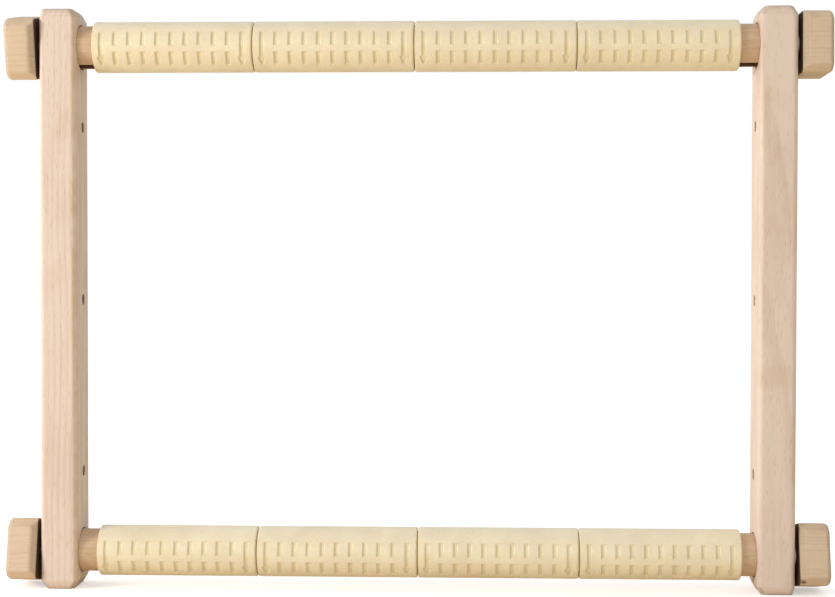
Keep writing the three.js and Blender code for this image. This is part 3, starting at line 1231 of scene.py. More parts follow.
@dataclass
class SideBar:
    """An upright bar of beech, with a socket for each roller and three blind peg holes.

    Attributes:
        hand: The side that the bar stands on.
        finish: Its beech.
        pith: Where its middle lies from the timber's pith line, in millimetres.
        lean: How far its fibres lean, in degrees about X and Y.
        inner_wear: How far the rub colour lies on its front inner edge, from 0 to 1: painted shade where
            that edge looks away from the light, and wear.
        hole_painted_shade: How much painted shade darkens its holes inside, from 0 to 1.
        plain_wear: How far hands have rubbed its other edges.
        edge_radius: Rounding of its long edges.
        end_taper: Height of the bevel round each end.
        end_inset: How far that bevel draws in at the front, the back and the inner face.
        outer_inset: How far it draws in at the outer face, at the right bar's top and the left's bottom.
        square_inset: How far it draws in there at the other two ends.
        end_rounding: Rounding of the bevel's edges.
        socket_radius: Radius of a roller socket.
        socket_depth: Depth of a roller socket.
        socket_sides: How many sides it has.
        stud_hole_radius: Radius of the hole that a stud goes through.
        peg_radius: Radius of a peg hole.
        peg_depth: Depth of a peg hole.
        peg_sides: How many sides it has.
        peg_spacing: From one peg hole to the next.
        peg_offset: How far behind the middle of the bar the peg holes lie.
        rim: Chamfer round each hole.
        overrun: How far the drills run past the faces.
    """

    hand: Hand
    finish: BeechFinish
    pith: Vector
    lean: tuple[float, float]
    # Painted shade on the front inner edge, laid in the rub colour.
    inner_wear: float
    # Painted shade inside the holes.
    hole_painted_shade: float
    plain_wear: float = 0.3
    edge_radius: float = 2.5 * MM
    end_taper: float = 4 * MM
    end_inset: float = 2.2 * MM
    outer_inset: float = 2 * MM
    square_inset: float = 0.4 * MM
    end_rounding: float = 0.7 * MM
    socket_radius: float = 10.4 * MM
    socket_depth: float = 2 * MM
    socket_sides: int = 96
    stud_hole_radius: float = 3.4 * MM
    peg_radius: float = 2.5 * MM
    peg_depth: float = 10 * MM
    peg_sides: int = 40
    peg_spacing: float = 81.5 * MM
    peg_offset: float = 1.5 * MM
    rim: float = 0.25 * MM
    overrun: float = 5 * MM

    @property
    def place(self) -> Place:
        """Where the bar belongs."""
        return Place(f"side_bar_{self.hand.word}", "side_bars", "bar_wood")

    def shaped_block(self) -> BMesh:
        """Planes the bar to size, bevels its ends and rounds its edges, and drills no holes yet.

        Returns:
            The bar without its holes.
        """
        place = self.place
        size = place.high - place.low
        bm = bmesh.new()
        shape = Matrix.Translation(place.centre) @ Matrix.Diagonal((*size, 1))
        bmesh.ops.create_cube(bm, size=1.0, matrix=shape)
        for height in (place.low.z + self.end_taper, place.high.z - self.end_taper):
            score(bm, Vector((0, 0, height)), Vector((0, 0, 1)))
        insets = {place.high.z: self.outer_inset, place.low.z: self.square_inset}
        for height, outer in insets.items():
            if self.hand is Hand.LEFT:
                outer = self.outer_inset + self.square_inset - outer
            ends = [v for v in bm.verts if abs(v.co.z - height) < MERGE_DISTANCE]
            narrower = (1 - (self.end_inset + outer) / size.x, 1 - 2 * self.end_inset / size.y, 1)
            bmesh.ops.scale(bm, vec=narrower, space=Matrix.Translation(-place.centre), verts=ends)
            outwards = self.hand.value * (self.end_inset - outer) / 2
            bmesh.ops.translate(bm, vec=(outwards, 0, 0), verts=ends)
        corners = sharp_edges(bm, SQUARE_EDGE, lambda edge: rise(edge) > self.end_taper / 2)
        soften(bm, corners, self.edge_radius, segments=7)
        rims = sharp_edges(bm, TAPER_EDGE, lambda edge: rise(edge) < MERGE_DISTANCE)
        soften(bm, rims, self.end_rounding, segments=3)
        return bm

    def holes(self) -> list[tuple[Vector, float]]:
        """Lists the spot of each hole in the inner face, with X = 0, and its radius.

        Returns:
            The spot and the radius of each hole.
        """
        sockets = [(Vector((0, 0, level.axis_height)), self.socket_radius) for level in Level]
        middle = self.place.centre.z
        pegs = [
            (Vector((0, self.peg_offset, middle + step * self.peg_spacing)), self.peg_radius)
            for step in (-1, 0, 1)
        ]
        return sockets + pegs

    def drill(self) -> BMesh:
        """Makes the waste of all holes, on the right-hand side of an inner face at X = 0.

        Returns:
            The waste of all holes.
        """
        width = self.place.length
        bm = bmesh.new()
        socket = [
            (-self.overrun, 0.0),
            (-self.overrun, self.socket_radius + self.rim),
            (0.0, self.socket_radius + self.rim),
            (self.rim, self.socket_radius),
            (self.socket_depth, self.socket_radius),
            (self.socket_depth, self.stud_hole_radius),
            (width - self.rim, self.stud_hole_radius),
            (width + self.overrun, self.stud_hole_radius + self.overrun + self.rim),
            (width + self.overrun, 0.0),
        ]
        peg_hole = [
            (-self.overrun, 0.0),
            (-self.overrun, self.peg_radius + self.overrun + self.rim),
            (self.rim, self.peg_radius),
            (self.peg_depth, self.peg_radius),
            (self.peg_depth + self.peg_radius / 2, 0.0),
        ]
        shapes = {
            self.socket_radius: (socket, self.socket_sides),
            self.peg_radius: (peg_hole, self.peg_sides),
        }
        for spot, radius in self.holes():
            outline, sides = shapes[radius]
            tool = bmesh.new()
            turn_on_lathe(tool, outline, sides)
            bmesh.ops.translate(tool, vec=spot, verts=tool.verts)
            waste = as_mesh(tool, "waste")
            bm.from_mesh(waste)
            bpy.data.meshes.remove(waste)
        return bm

    def build(self) -> Object:
        """Makes the bar.

        Returns:
            The finished bar.
        """
        place = self.place
        inner_face = place.low.x if self.hand is Hand.RIGHT else place.high.x
        waste = self.drill()
        outwards = Matrix.Scale(self.hand.value, 4, Vector((1, 0, 0)))
        seat = Matrix.Translation((inner_face, 0, 0)) @ outwards
        bmesh.ops.transform(waste, matrix=seat, verts=waste.verts)
        bmesh.ops.recalc_face_normals(waste, faces=waste.faces)
        block = as_mesh(self.shaped_block(), "block")
        mesh = cut_away(block, as_mesh(waste, "waste"), f"bar_{self.hand.word}")
        bm = bmesh.new()
        bm.from_mesh(mesh)
        # The rub colour on rounded faces: wear, and painted shade on the shaded front inner edge.
        mark_faces(bm, ROUNDED_LAYER, self._wear)
        holes = self.holes()
        # Painted shade on the walls of the holes.
        mark_faces(bm, PAINTED_SHADE_LAYER, lambda face: self._depth_in_hole(face, inner_face, holes))
        bm.to_mesh(mesh)
        bm.free()
        wood_name = f"beech of the {self.hand.word} bar"
        wood = self.finish.material(wood_name, Grain.ALONG_BAR, place.centre, self.pith, self.lean)
        return deliver(mesh, place, wood)

    def _wear(self, face: BMFace) -> float:
        """How far the rub colour lies on a face: the bar's painted shade along the front inner edge, wear on
        the other rounded edges, and nothing on flat faces.

        Args:
            face: The face.

        Returns:
            The share of the rub colour, from 0 to 1.
        """
        if not off_axis(face):
            return 0.0
        is_inner = -self.hand.value * face.normal.x > LEANING_LEAST
        return self.inner_wear if is_inner and face.normal.y < 0 else self.plain_wear

    def _depth_in_hole(self, face: BMFace, inner_face: float, holes: list[tuple[Vector, float]]) -> float:
        """Finds how much painted shade a face takes inside the holes.

        Args:
            face: The face.
            inner_face: X of the bar's inner face.
            holes: The spot and the radius of each hole.

        Returns:
            The bar's hole_painted_shade on the walls of the holes, and 0 elsewhere.
        """
        middle = face.calc_center_median()
        if abs(middle.x - inner_face) < self.rim or abs(face.normal.x) > ON_AXIS_LEAST:
            return 0.0
        reach = min(off_centre(middle - spot) - radius for spot, radius in holes)
        return self.hole_painted_shade if reach < self.rim else 0.0


@dataclass
class Roller:
    """A beech dowel with a lengthwise saw cut for the edge of the cloth.

    Attributes:
        level: Which roller it is.
        finish: Its beech.
        pith: Where its middle lies from the timber's pith line, in millimetres.
        groove_angle: Where the saw cut faces, in degrees up from the front.
        lean: How far its fibres lean, in degrees about X and Y.
        radius: The dowel's radius.
        sides: How many sides the dowel has.
        rim_rounding: Rounding of its ends and of the saw cut's lips.
        groove_width: Width of the saw cut.
        groove_depth: Depth of the saw cut.
        groove_painted_shade: How much painted shade darkens the saw cut, from 0 to 1.
        stud_hole_radius: Radius of the hole in each end.
        stud_hole_depth: Depth of the hole in each end.
        stud_hole_sides: How many sides it has.
        lead: Chamfer round that hole.
        slack: How far a point may lie from a surface and still count as on it.
        skin: How far below the outside a face has to lie to belong to the saw cut.
        wall_most: The largest share of a normal along X, for a face of the saw cut.
    """

    level: Level
    finish: BeechFinish
    pith: Vector
    groove_angle: float
    lean: tuple[float, float] = (0.4, 0.3)
    radius: float = 10 * MM
    sides: int = 120
    rim_rounding: float = 0.35 * MM
    groove_width: float = 4.8 * MM
    groove_depth: float = 4.5 * MM
    # Painted shade in the saw cut.
    groove_painted_shade: float = 0.85
    stud_hole_radius: float = 3.3 * MM
    stud_hole_depth: float = 29 * MM
    stud_hole_sides: int = 32
    lead: float = 0.3 * MM
    slack: float = 0.1 * MM
    skin: float = 0.5 * MM
    wall_most: float = 0.5

    @property
    def place(self) -> Place:
        """Where the roller belongs."""
        return Place(f"roller_{self.level.value}", f"{self.level.value}_roller", "roller_wood")

    def section(self, bm: BMesh, along: float) -> list[BMEdge]:
        """Draws the dowel's section with the saw cut facing the front.

        Args:
            bm: The mesh to draw in.
            along: The section's place along X.

        Returns:
            The section's edges.
        """
        half = self.groove_width / 2
        circle = draw_circle(bm, along, self.radius, self.sides)
        gone = [v for v in circle if v.co.y < 0 and abs(v.co.z) < half + self.slack]
        rim = [v for v in circle if v not in gone]
        bmesh.ops.delete(bm, geom=gone, context="VERTS")
        upper = min((v for v in rim if v.co.y < 0 and v.co.z > 0), key=lambda v: v.co.z)
        lower = max((v for v in rim if v.co.y < 0 and v.co.z < 0), key=lambda v: v.co.z)
        lip = -math.sqrt(self.radius**2 - half**2)
        floor = -self.radius + self.groove_depth
        spots = [(lip, half), (floor, half), (floor, -half), (lip, -half)]
        corners = [bm.verts.new((along, y, z)) for y, z in spots]
        chain = [upper, *corners, lower]
        for pair in zip(chain, chain[1:]):
            bm.edges.new(pair)
        return list({edge for vert in rim + corners for edge in vert.link_edges})

    def build(self) -> Object:
        """Makes the roller.

        Returns:
            The finished roller.
        """
        place = self.place
        start, end = place.low.x, place.high.x
        bm = bmesh.new()
        outline = self.section(bm, start)
        far = bmesh.ops.extrude_edge_only(bm, edges=outline)["geom"]
        moved = only(BMVert, far)
        bmesh.ops.translate(bm, vec=(end - start, 0, 0), verts=moved)
        far_edges = [e for e in bm.edges if all(v in moved for v in e.verts)]
        for rim in (outline, far_edges):
            bmesh.ops.contextual_create(bm, geom=rim)
        close_skin(bm)
        soften(bm, sharp_edges(bm, RIM_EDGE, self._on_outer_rim), self.rim_rounding)
        steps = [
            (0.0, self.stud_hole_radius + self.lead),
            (self.lead, self.stud_hole_radius),
            (self.stud_hole_depth, self.stud_hole_radius),
        ]
        for outwards, along in ((-1, start), (1, end)):
            bore_face(bm, end_face(bm, outwards), along, steps, self.stud_hole_sides)
        mark_faces(bm, ROUNDED_LAYER, off_axis)
        # Painted shade on the walls and floor of the saw cut.
        mark_faces(bm, PAINTED_SHADE_LAYER, self._depth_in_groove)
        angle = Matrix.Rotation(-math.radians(self.groove_angle), 4, "X")
        axis = Matrix.Translation((0, 0, self.level.axis_height))
        bmesh.ops.transform(bm, matrix=axis @ angle, verts=bm.verts)
        wood_name = f"beech of the {self.level.value} roller"
        wood = self.finish.material(wood_name, Grain.ALONG_ROLLER, place.centre, self.pith, self.lean)
        return deliver(as_mesh(bm, place.node), place, wood)

    def _depth_in_groove(self, face: BMFace) -> float:
        """How much painted shade a face takes: the walls and the floor of the saw cut do, and the outside
        does not.

        Args:
            face: The face, with the saw cut still facing the front.

        Returns:
            The painted shade, from 0 to 1.
        """
        middle = face.calc_center_median()
        is_within = middle.y < 0 and abs(middle.z) < (self.groove_width + self.slack) / 2
        is_below = off_centre(middle) < self.radius - self.skin
        is_wall = abs(face.normal.x) < self.wall_most
        return self.groove_painted_shade if is_within and is_below and is_wall else 0.0

    def _on_outer_rim(self, edge: BMEdge) -> bool:
        """Whether an edge lies on the dowel's round outside, at an end or along the saw cut."""
        return all(off_centre(v.co) > self.radius - self.slack for v in edge.verts)


@dataclass
class RollerEnd:
    """What clamps one end of a roller: a threaded stud, a washer, and a knob with its insert.

    Everything is made along +X from the inner end of the piece, and turned round on the left.

    Attributes:
        level: The roller that it clamps.
        hand: The end of that roller.
        beech: The knob's finish.
        steel: The finish of the stud and the washer.
        brass: The finish of the insert.
        knob_tilt: How far the knob is turned, in degrees, its front tipped up.
        pith: Where the knob's middle lies from the timber's pith line, in millimetres.
        nick_spot: A chip in the knob as (along, up) from its inner end and middle, if it has one.
        lean: How far the knob's fibres lean, in degrees about X and Y.
        across_flats: The knob's thickness from side to side.
        corner_cut: How far its corners are cut back, measured along its sides.
        inner_bevel_length: Length of the bevel at the end that faces the bar.
        inner_bevel_inset: How far that bevel draws in, at the front and the back.
        outer_bevel: Bevel all round the other end.
        edge_rounding: Rounding of the knob's edges.
        painted_shade_depth: How near its inner end a face takes painted shade, for the dark gap by the bar.
        bore_radius: Radius of the knob's bore.
        bore_depth: Depth of the knob's bore.
        bore_lead: Chamfer round the bore.
        thread_radius: Outer radius of the stud.
        thread_pitch: How far its thread climbs in a turn.
        hole_radius: Radius of the hole in the washer and the insert.
        washer_radius: The washer's outer radius.
        washer_burr: Size of the burr that stamping left.
        insert_radius: The insert's outer radius.
        insert_lead: Its chamfers.
        insert_groove: Depth of its thread.
        sides: How many sides the washer and the insert have.
        stud_sides: How many steps a turn of the stud's thread has.
        bore_sides: How many sides the bore has.
    """

    level: Level
    hand: Hand
    beech: BeechFinish
    steel: Material
    brass: Material
    knob_tilt: float
    pith: Vector
    nick_spot: tuple[float, float] | None = None
    lean: tuple[float, float] = (0.8, -0.6)
    across_flats: float = 28.6 * MM
    corner_cut: float = 3.4 * MM
    inner_bevel_length: float = 3 * MM
    inner_bevel_inset: float = 1.8 * MM
    outer_bevel: float = 1.4 * MM
    edge_rounding: float = 0.85 * MM
    # Painted shade reaches this far from the inner end.
    painted_shade_depth: float = 0.2 * MM
    bore_radius: float = 5.3 * MM
    bore_depth: float = 11.4 * MM
    bore_lead: float = 0.4 * MM
    thread_radius: float = 3 * MM
    thread_pitch: float = 1 * MM
    hole_radius: float = 3.3 * MM
    washer_radius: float = 6 * MM
    washer_burr: float = 0.15 * MM
    insert_radius: float = 5 * MM
    insert_lead: float = 0.5 * MM
    insert_groove: float = 0.3 * MM
    sides: int = 64
    stud_sides: int = 28
    bore_sides: int = 48

    def spot(self, piece: str) -> Place:
        """Finds where a stud, washer, knob or insert of this end belongs.

        Args:
            piece: stud, washer, knob or insert.

        Returns:
            The piece's place.
        """
        bodies = {"stud": "roller", "washer": f"{self.hand.word}_washer"}
        slots = {
            "stud": "stud_steel",
            "washer": "washer_steel",
            "knob": "knob_wood",
            "insert": "insert_brass",
        }
        body = f"{self.level.value}_{bodies.get(piece, f'{self.hand.word}_knob')}"
        return Place(f"{piece}_{self.level.value}_{self.hand.word}", body, slots[piece])

    def seat(self, piece: str, tilted: bool = False) -> Matrix:
        """Works out where the inner end of a piece sits.

        Args:
            piece: stud, washer, knob or insert.
            tilted: Whether the piece is turned with the knob.

        Returns:
            The matrix that moves a piece made along +X from the origin to its seat.
        """
        place = self.spot(piece)
        start = place.low.x if self.hand is Hand.RIGHT else place.high.x
        seat = Matrix.Translation((start, 0, self.spot("stud").centre.z))
        if self.hand is Hand.LEFT:
            seat = seat @ Matrix.Rotation(math.pi, 4, "Z")
        if tilted:
            seat = seat @ Matrix.Rotation(-self.hand.value * math.radians(self.knob_tilt), 4, "X")
        return seat

    def stud(self) -> Object:
        """Makes the threaded stud.

        Returns:
            The finished stud.
        """
        bm = bmesh.new()
        length = self.spot("stud").length
        cut_thread(bm, length, self.thread_radius, self.thread_pitch, self.stud_sides)
        return self.put("stud", bm, self.steel)

    def washer(self) -> Object:
        """Makes the washer, rounded on its stamped side.

        Returns:
            The finished washer.
        """
        length = self.spot("washer").length
        burr = self.washer_burr
        outline = [
            (0.0, self.hole_radius + burr),
            (0.0, self.washer_radius - 2 * burr),
            (burr, self.washer_radius - burr / 2),
            (2 * burr, self.washer_radius),
            (length - burr / 2, self.washer_radius),
            (length, self.washer_radius - burr / 2),
            (length, self.hole_radius + burr / 2),
            (length - burr / 2, self.hole_radius),
            (burr, self.hole_radius),
        ]
        bm = bmesh.new()
        turn_on_lathe(bm, outline, self.sides, closed=True)
        return self.put("washer", bm, self.steel)

    def insert(self) -> Object:
        """Makes the threaded insert, with its thread shown as grooves in its bore.

        Returns:
            The finished insert.
        """
        length = self.spot("insert").length
        lead = self.insert_lead
        outline = [
            (0.0, self.hole_radius + lead),
            (0.0, self.insert_radius - lead),
            (lead, self.insert_radius),
            (length - lead, self.insert_radius),
            (length, self.insert_radius - lead),
            (length, self.hole_radius + lead),
        ]
        count = math.floor((length - 2 * lead) / self.thread_pitch)
        for index in range(count):
            along = length - lead - index * self.thread_pitch
            outline.append((along, self.hole_radius))
            outline.append((along - self.thread_pitch / 2, self.hole_radius + self.insert_groove))
        outline.append((lead, self.hole_radius))
        bm = bmesh.new()
        turn_on_lathe(bm, outline, self.sides, closed=True)
        return self.put("insert", bm, self.brass, tilted=True)

    def knob(self) -> Object:
        """Planes and bores the knob.

        Returns:
            The finished knob.
        """
        length = self.spot("knob").length
        across = self.across_flats
        half = across / 2
        corner = (across - self.corner_cut) / math.sqrt(2)
        bm = bmesh.new()
        block = Matrix.Translation((length / 2, 0, 0)) @ Matrix.Diagonal((length, across, across, 1))
        bmesh.ops.create_cube(bm, size=1.0, matrix=block)
        for eighth in range(8):
            around = Vector((0, math.cos(eighth * FULL_TURN / 8), math.sin(eighth * FULL_TURN / 8)))
            on_corner = eighth % 2 == 1
            on_front_or_back = eighth % 4 == 0
            reach = corner if on_corner else half
            if on_corner:
                plane_off(bm, reach * around, around)
            slope = self.outer_bevel * (around + Vector((1, 0, 0)))
            start = Vector((length - self.outer_bevel, 0, 0))
            plane_off(bm, start + reach * around, slope.normalized())
            if on_front_or_back:
                slope = self.inner_bevel_length * around - Vector((self.inner_bevel_inset, 0, 0))
                start = Vector((self.inner_bevel_length, 0, 0))
                plane_off(bm, start + reach * around, slope.normalized())
        close_skin(bm)
        soften(bm, sharp_edges(bm, BEVEL_EDGE), self.edge_rounding, segments=4)
        steps = [
            (0.0, self.bore_radius + self.bore_lead),
            (self.bore_lead, self.bore_radius),
            (self.bore_depth, self.bore_radius),
        ]
        bore_face(bm, end_face(bm, -1), 0.0, steps, self.bore_sides)
        mark_faces(bm, ROUNDED_LAYER, off_axis)
        # Painted shade on the inner end, which faces the bar across a dark gap.
        mark_faces(bm, PAINTED_SHADE_LAYER, lambda face: face.calc_center_median().x < self.painted_shade_depth)
        return self.put("knob", bm, self.wood(), tilted=True)

    def wood(self) -> Material:
        """Saws the knob's timber, each knob from another part of the plank.

        Returns:
            The knob's wood.
        """
        nick = None
        if self.nick_spot is not None:
            along, up = self.nick_spot
            nick = self.seat("knob") @ Vector((along, -self.across_flats / 2, up))
        name = f"beech of the {self.level.value} {self.hand.word} knob"
        centre = self.spot("knob").centre
        return self.beech.material(name, Grain.ALONG_ROLLER, centre, self.pith, self.lean, nick)

    def put(self, piece: str, bm: BMesh, material: Material, tilted: bool = False) -> Object:
        """Moves a piece to its seat and finishes it.

        Args:
            piece: stud, washer, knob or insert.
            bm: The piece, made along +X from the origin.
            material: Its finish.
            tilted: Whether it is turned with the knob.

        Returns:
            The finished piece.
        """
        if not bm.loops.layers.float.get(ROUNDED_LAYER):
            mark_faces(bm, ROUNDED_LAYER, off_axis)
        bmesh.ops.transform(bm, matrix=self.seat(piece, tilted), verts=bm.verts)
        place = self.spot(piece)
        return deliver(as_mesh(bm, place.node), place, material)

    def build(self) -> list[Object]:
        """Makes all four pieces."""
        return [self.stud(), self.washer(), self.insert(), self.knob()]


@dataclass
class ClipRow:
    """The clips on one roller: long springy shells with sunk slots and an arrow at each end.

    Angles on a clip are in degrees up from its crown, which is the middle of its outside.

    Attributes:
        level: The roller that the clips grip.
        plastic: Their finish.
        crown_angle: Where their crown faces, in degrees up from the front.
        count: How many clips the row has.
        inner_radius: Radius of a clip's inside.
        outer_radius: Radius of its outside.
        lip_angle: Where its lips end, above and below.
        columns: How many slots a row on it has, with the arrows at its ends counted.
        end_margin: From a clip's end to the middle of its arrow.
        slot_width: Width of a slot.
        slot_depth: Depth of a slot.
        wall_run: How far a slot's walls slope inwards on their way down.
        row_near: Where the slots start on either side of the crown.
        row_far: Where they end.
        head_start: Where the shaft of the arrow ends.
        head_full: Where the arrow's head is widest.
        head_width: How wide it is there.
        tip_width: How wide it is at its tip.
        end_rounding: Rounding of the clip's ends.
        lip_rounding: Rounding of its lips.
        slot_rounding: Rounding of the slots' edges.
        wall_painted_shade: How much painted shade darkens the slots' walls, from 0 to 1.
        floor_painted_shade: How much painted shade darkens their floors.
        core: How thick the shell is under everything that is sunk.
        skin_slack: How far below the outside a face has to lie to be sunk.
        rim_slack: How far below the outside an edge may lie and still count as on it.
        row_slack: How far past a slot's end, in degrees, a face still belongs to it.
        end_least: The least share of a normal along X, for a face at a clip's end.
        rubbed_area: The largest face that counts as part of a rounded edge.
    """

    level: Level
    plastic: Material
    crown_angle: float
    count: int = 4
    inner_radius: float = 10.45 * MM
    outer_radius: float = 11.85 * MM
    lip_angle: float = 104.97
    columns: int = 11
    end_margin: float = 4.5 * MM
    slot_width: float = 2.5 * MM
    slot_depth: float = 0.5 * MM
    wall_run: float = 0.72 * MM
    row_near: float = 6.2
    row_far: float = 41.5
    head_start: float = -16.5
    head_full: float = -20.0
    head_width: float = 4.2 * MM
    tip_width: float = 1.5 * MM
    end_rounding: float = 0.8 * MM
    lip_rounding: float = 0.3 * MM
    slot_rounding: float = 0.22 * MM
    # Painted shade on the walls and floors of the slots.
    wall_painted_shade: float = 0.3
    floor_painted_shade: float = 0.12
    core: float = 0.5 * MM
    skin_slack: float = 0.02 * MM
    rim_slack: float = 0.05 * MM
    row_slack: float = 3.0
    end_least: float = 0.97
    rubbed_area: float = 0.5 * MM**2

    def spot(self, number: int) -> Place:
        """Where a clip belongs, counted from 1 on the left."""
        level = self.level.value
        return Place(f"clip_{level}_{number}", f"{level}_clip_{number}", "clip_plastic")

    def stations(self) -> list[float]:
        """Lists the angles of the shell's lines, from its upper lip to its lower one.

        Returns:
            The angles, in degrees up from the crown.
        """
        stretches = [
            (self.lip_angle, self.row_far, 14),
            (self.row_far, self.row_near, 8),
            (self.row_near, -self.row_near, 4),
            (-self.row_near, self.head_start, 2),
            (self.head_start, self.head_full, 1),
            (self.head_full, -self.row_far, 5),
            (-self.row_far, -self.lip_angle, 14),
        ]
        angles = [self.lip_angle]
        for start, end, steps in stretches:
            angles += [start + (end - start) * step / steps for step in range(1, steps + 1)]
        return angles

    def column_places(self, length: float) -> list[float]:
        """Lists where the middles of the slots lie along X, on a clip of that length."""
        pitch = (length - 2 * self.end_margin) / (self.columns - 1)
        return [self.end_margin + column * pitch for column in range(self.columns)]

    def is_arrow(self, column: int) -> bool:
        """Whether a column of slots, counted from 0 on the left, has an arrow instead."""
        return column in (0, self.columns - 1)

    def half_width(self, column: int, angle: float) -> float:
        """Works out half of how wide a sunk shape is at an angle.

        Args:
            column: The slot's number from the left, from 0.
            angle: The angle, in degrees up from the crown.

        Returns:
            Half of the width.
        """
        tolerance = 0.1
        in_head = -self.row_far - tolerance <= angle <= self.head_full + tolerance
        if not (self.is_arrow(column) and in_head):
            return self.slot_width / 2
        share = (self.head_full - angle) / (self.head_full + self.row_far)
        return (self.head_width + share * (self.tip_width - self.head_width)) / 2

    def skin(self, bm: BMesh, length: float) -> None:
        """Rolls a flat line of points into the clip's outer skin, with the crown at the front.

        Args:
            bm: The mesh to add to.
            length: The clip's length.
        """
        angles = self.stations()
        places = [0.0]
        for place in self.column_places(length):
            places += [place - self.slot_width / 2, place + self.slot_width / 2]
        places.append(length)
        turn = Matrix.Rotation(-math.radians(angles[0]), 3, "X")
        start = [bm.verts.new(turn @ Vector((place, -self.outer_radius, 0))) for place in places]
        edges = [bm.edges.new(pair) for pair in zip(start, start[1:])]
        lines = [start]
        for before, after in zip(angles, angles[1:]):
            grown = bmesh.ops.extrude_edge_only(bm, edges=edges)["geom"]
            verts = only(BMVert, grown)
            edges = [edge for edge in only(BMEdge, grown) if all(v in verts for v in edge.verts)]
            step = Matrix.Rotation(math.radians(before - after), 3, "X")
            bmesh.ops.rotate(bm, cent=(0, 0, 0), matrix=step, verts=verts)
            lines.append(sorted(verts, key=lambda v: v.co.x))
        for angle, line in zip(angles, lines):
            for column, place in enumerate(self.column_places(length)):
                half = self.half_width(column, angle)
                line[1 + 2 * column].co.x = place - half
                line[2 + 2 * column].co.x = place + half

    def angle_of(self, point: Vector) -> float:
        """The angle at which a point lies on a clip that is still at the origin."""
        return math.degrees(math.atan2(point.z, -point.y))

    def sunk_faces(self, bm: BMesh, length: float) -> list[BMFace]:
        """Finds the skin's faces that lie in a slot or an arrow.

        Args:
            bm: The skin.
            length: The clip's length.

        Returns:
            The faces.
        """
        places = self.column_places(length)
        found = []
        for face in bm.faces:
            middle = face.calc_center_median()
            if off_centre(middle) < (self.inner_radius + self.outer_radius) / 2:
                continue
            angle = self.angle_of(middle)
            column = min(range(self.columns), key=lambda c: abs(middle.x - places[c]))
            is_inside = abs(middle.x - places[column]) < self.half_width(column, angle) / 2
            near = 0.0 if self.is_arrow(column) else self.row_near
            if is_inside and near <= abs(angle) < self.row_far:
                found.append(face)
        return found

    def shell(self, length: float) -> BMesh:
        """Moulds one clip.

        Args:
            length: The clip's length.

        Returns:
            The clip along +X from the origin, with its crown at the front.
        """
        bm = bmesh.new()
        self.skin(bm, length)
        copy = bmesh.ops.duplicate(bm, geom=everything(bm))["geom"]
        thinner = self.inner_radius / self.outer_radius
        bmesh.ops.scale(bm, vec=(1, thinner, thinner), verts=only(BMVert, copy))
        bmesh.ops.reverse_faces(bm, faces=only(BMFace, copy))
        rims = [edge for edge in bm.edges if edge.is_boundary]
        bmesh.ops.bridge_loops(bm, edges=rims)
        bmesh.ops.recalc_face_normals(bm, faces=bm.faces)

        inset = bmesh.ops.inset_region(
            bm,
            faces=self.sunk_faces(bm, length),
            use_boundary=True,
            use_even_offset=True,
            thickness=self.wall_run,
            depth=-self.slot_depth,
        )
        walls = set(inset["faces"])

        def along_rim(edge: BMEdge) -> bool:
            """Whether an edge borders a slot's wall on one side only."""
            return sum(face in walls for face in edge.link_faces) == 1

        def on_end(edge: BMEdge) -> bool:
            """Whether an edge lies on the outside of one of the clip's two ends.

            Args:
                edge: The edge.

            Returns:
                Whether it does.
            """
            at_end = all(min(v.co.x, length - v.co.x) < MERGE_DISTANCE for v in edge.verts)
            least = self.outer_radius - self.rim_slack
            return at_end and all(off_centre(v.co) > least for v in edge.verts)

        soften(bm, sharp_edges(bm, WALL_EDGE, along_rim), self.slot_rounding)
        soften(bm, sharp_edges(bm, SQUARE_EDGE, on_end), self.end_rounding, segments=4)
        soften(bm, sharp_edges(bm, SQUARE_EDGE), self.lip_rounding)
        close_skin(bm)
        return bm

    def _depth_in_slot(self, face: BMFace) -> float:
        """How much painted shade a face takes: the floors and walls of the sunk shapes do, and the rest does
        not.

        Args:
            face: The face, on a clip that is still at the origin.

        Returns:
            The painted shade, from 0 to 1.
        """
        middle = face.calc_center_median()
        tilt = abs(face.normal.x)
        is_sunk = self.inner_radius + self.core < off_centre(middle) < self.outer_radius - self.skin_slack
        in_rows = abs(self.angle_of(middle)) < self.row_far + self.row_slack
        if not (is_sunk and in_rows and tilt < self.end_least):
            return 0.0
        return self.wall_painted_shade if tilt > LEANING_LEAST else self.floor_painted_shade

    def build(self) -> list[Object]:
        """Makes the whole row.

        Returns:
            The finished clips.
        """
        axis = self.level.axis_height
        made = []
        for number in range(1, self.count + 1):
            place = self.spot(number)
            bm = self.shell(place.length)
            mark_faces(bm, ROUNDED_LAYER, lambda face: face.calc_area() < self.rubbed_area)
            # Painted shade in the slots.
            mark_faces(bm, PAINTED_SHADE_LAYER, self._depth_in_slot)
            turn = Matrix.Rotation(-math.radians(self.crown_angle), 4, "X")
            seat = Matrix.Translation((place.low.x, 0, axis)) @ turn
            bmesh.ops.transform(bm, matrix=seat, verts=bm.verts)
            made.append(deliver(as_mesh(bm, place.node), place, self.plastic))
        return made


# Studio


@dataclass(frozen=True)
class SoftBox:
    """A large square light that faces the middle of the frame.

    Attributes:
        name: The light's name.
        offset: Where it hangs, from the middle of the frame.
        size: The length of its sides.
        power: Its power in watts.
        tint: Its colour.
    """

    name: str
    offset: Vector
    size: float
    power: float
    tint: Colour

    def hang(self, middle: Vector) -> None:
        """Hangs the light, out of the camera's sight.

        Args:
            middle: The middle of the frame.
        """
        data = bpy.data.lights.new(self.name, "AREA")
        data.size = self.size
        data.energy = self.power
        data.color = self.tint[:3]
        light = set_down(self.name, data)
        place = middle + self.offset
        light.location = place
        light.rotation_euler = (middle - place).to_track_quat("-Z", "Y").to_euler()
        light.visible_camera = False


DAYLIGHT = (0.95, 0.97, 1.0, 1.0)
LAMPLIGHT = (1.0, 0.97, 0.94, 1.0)


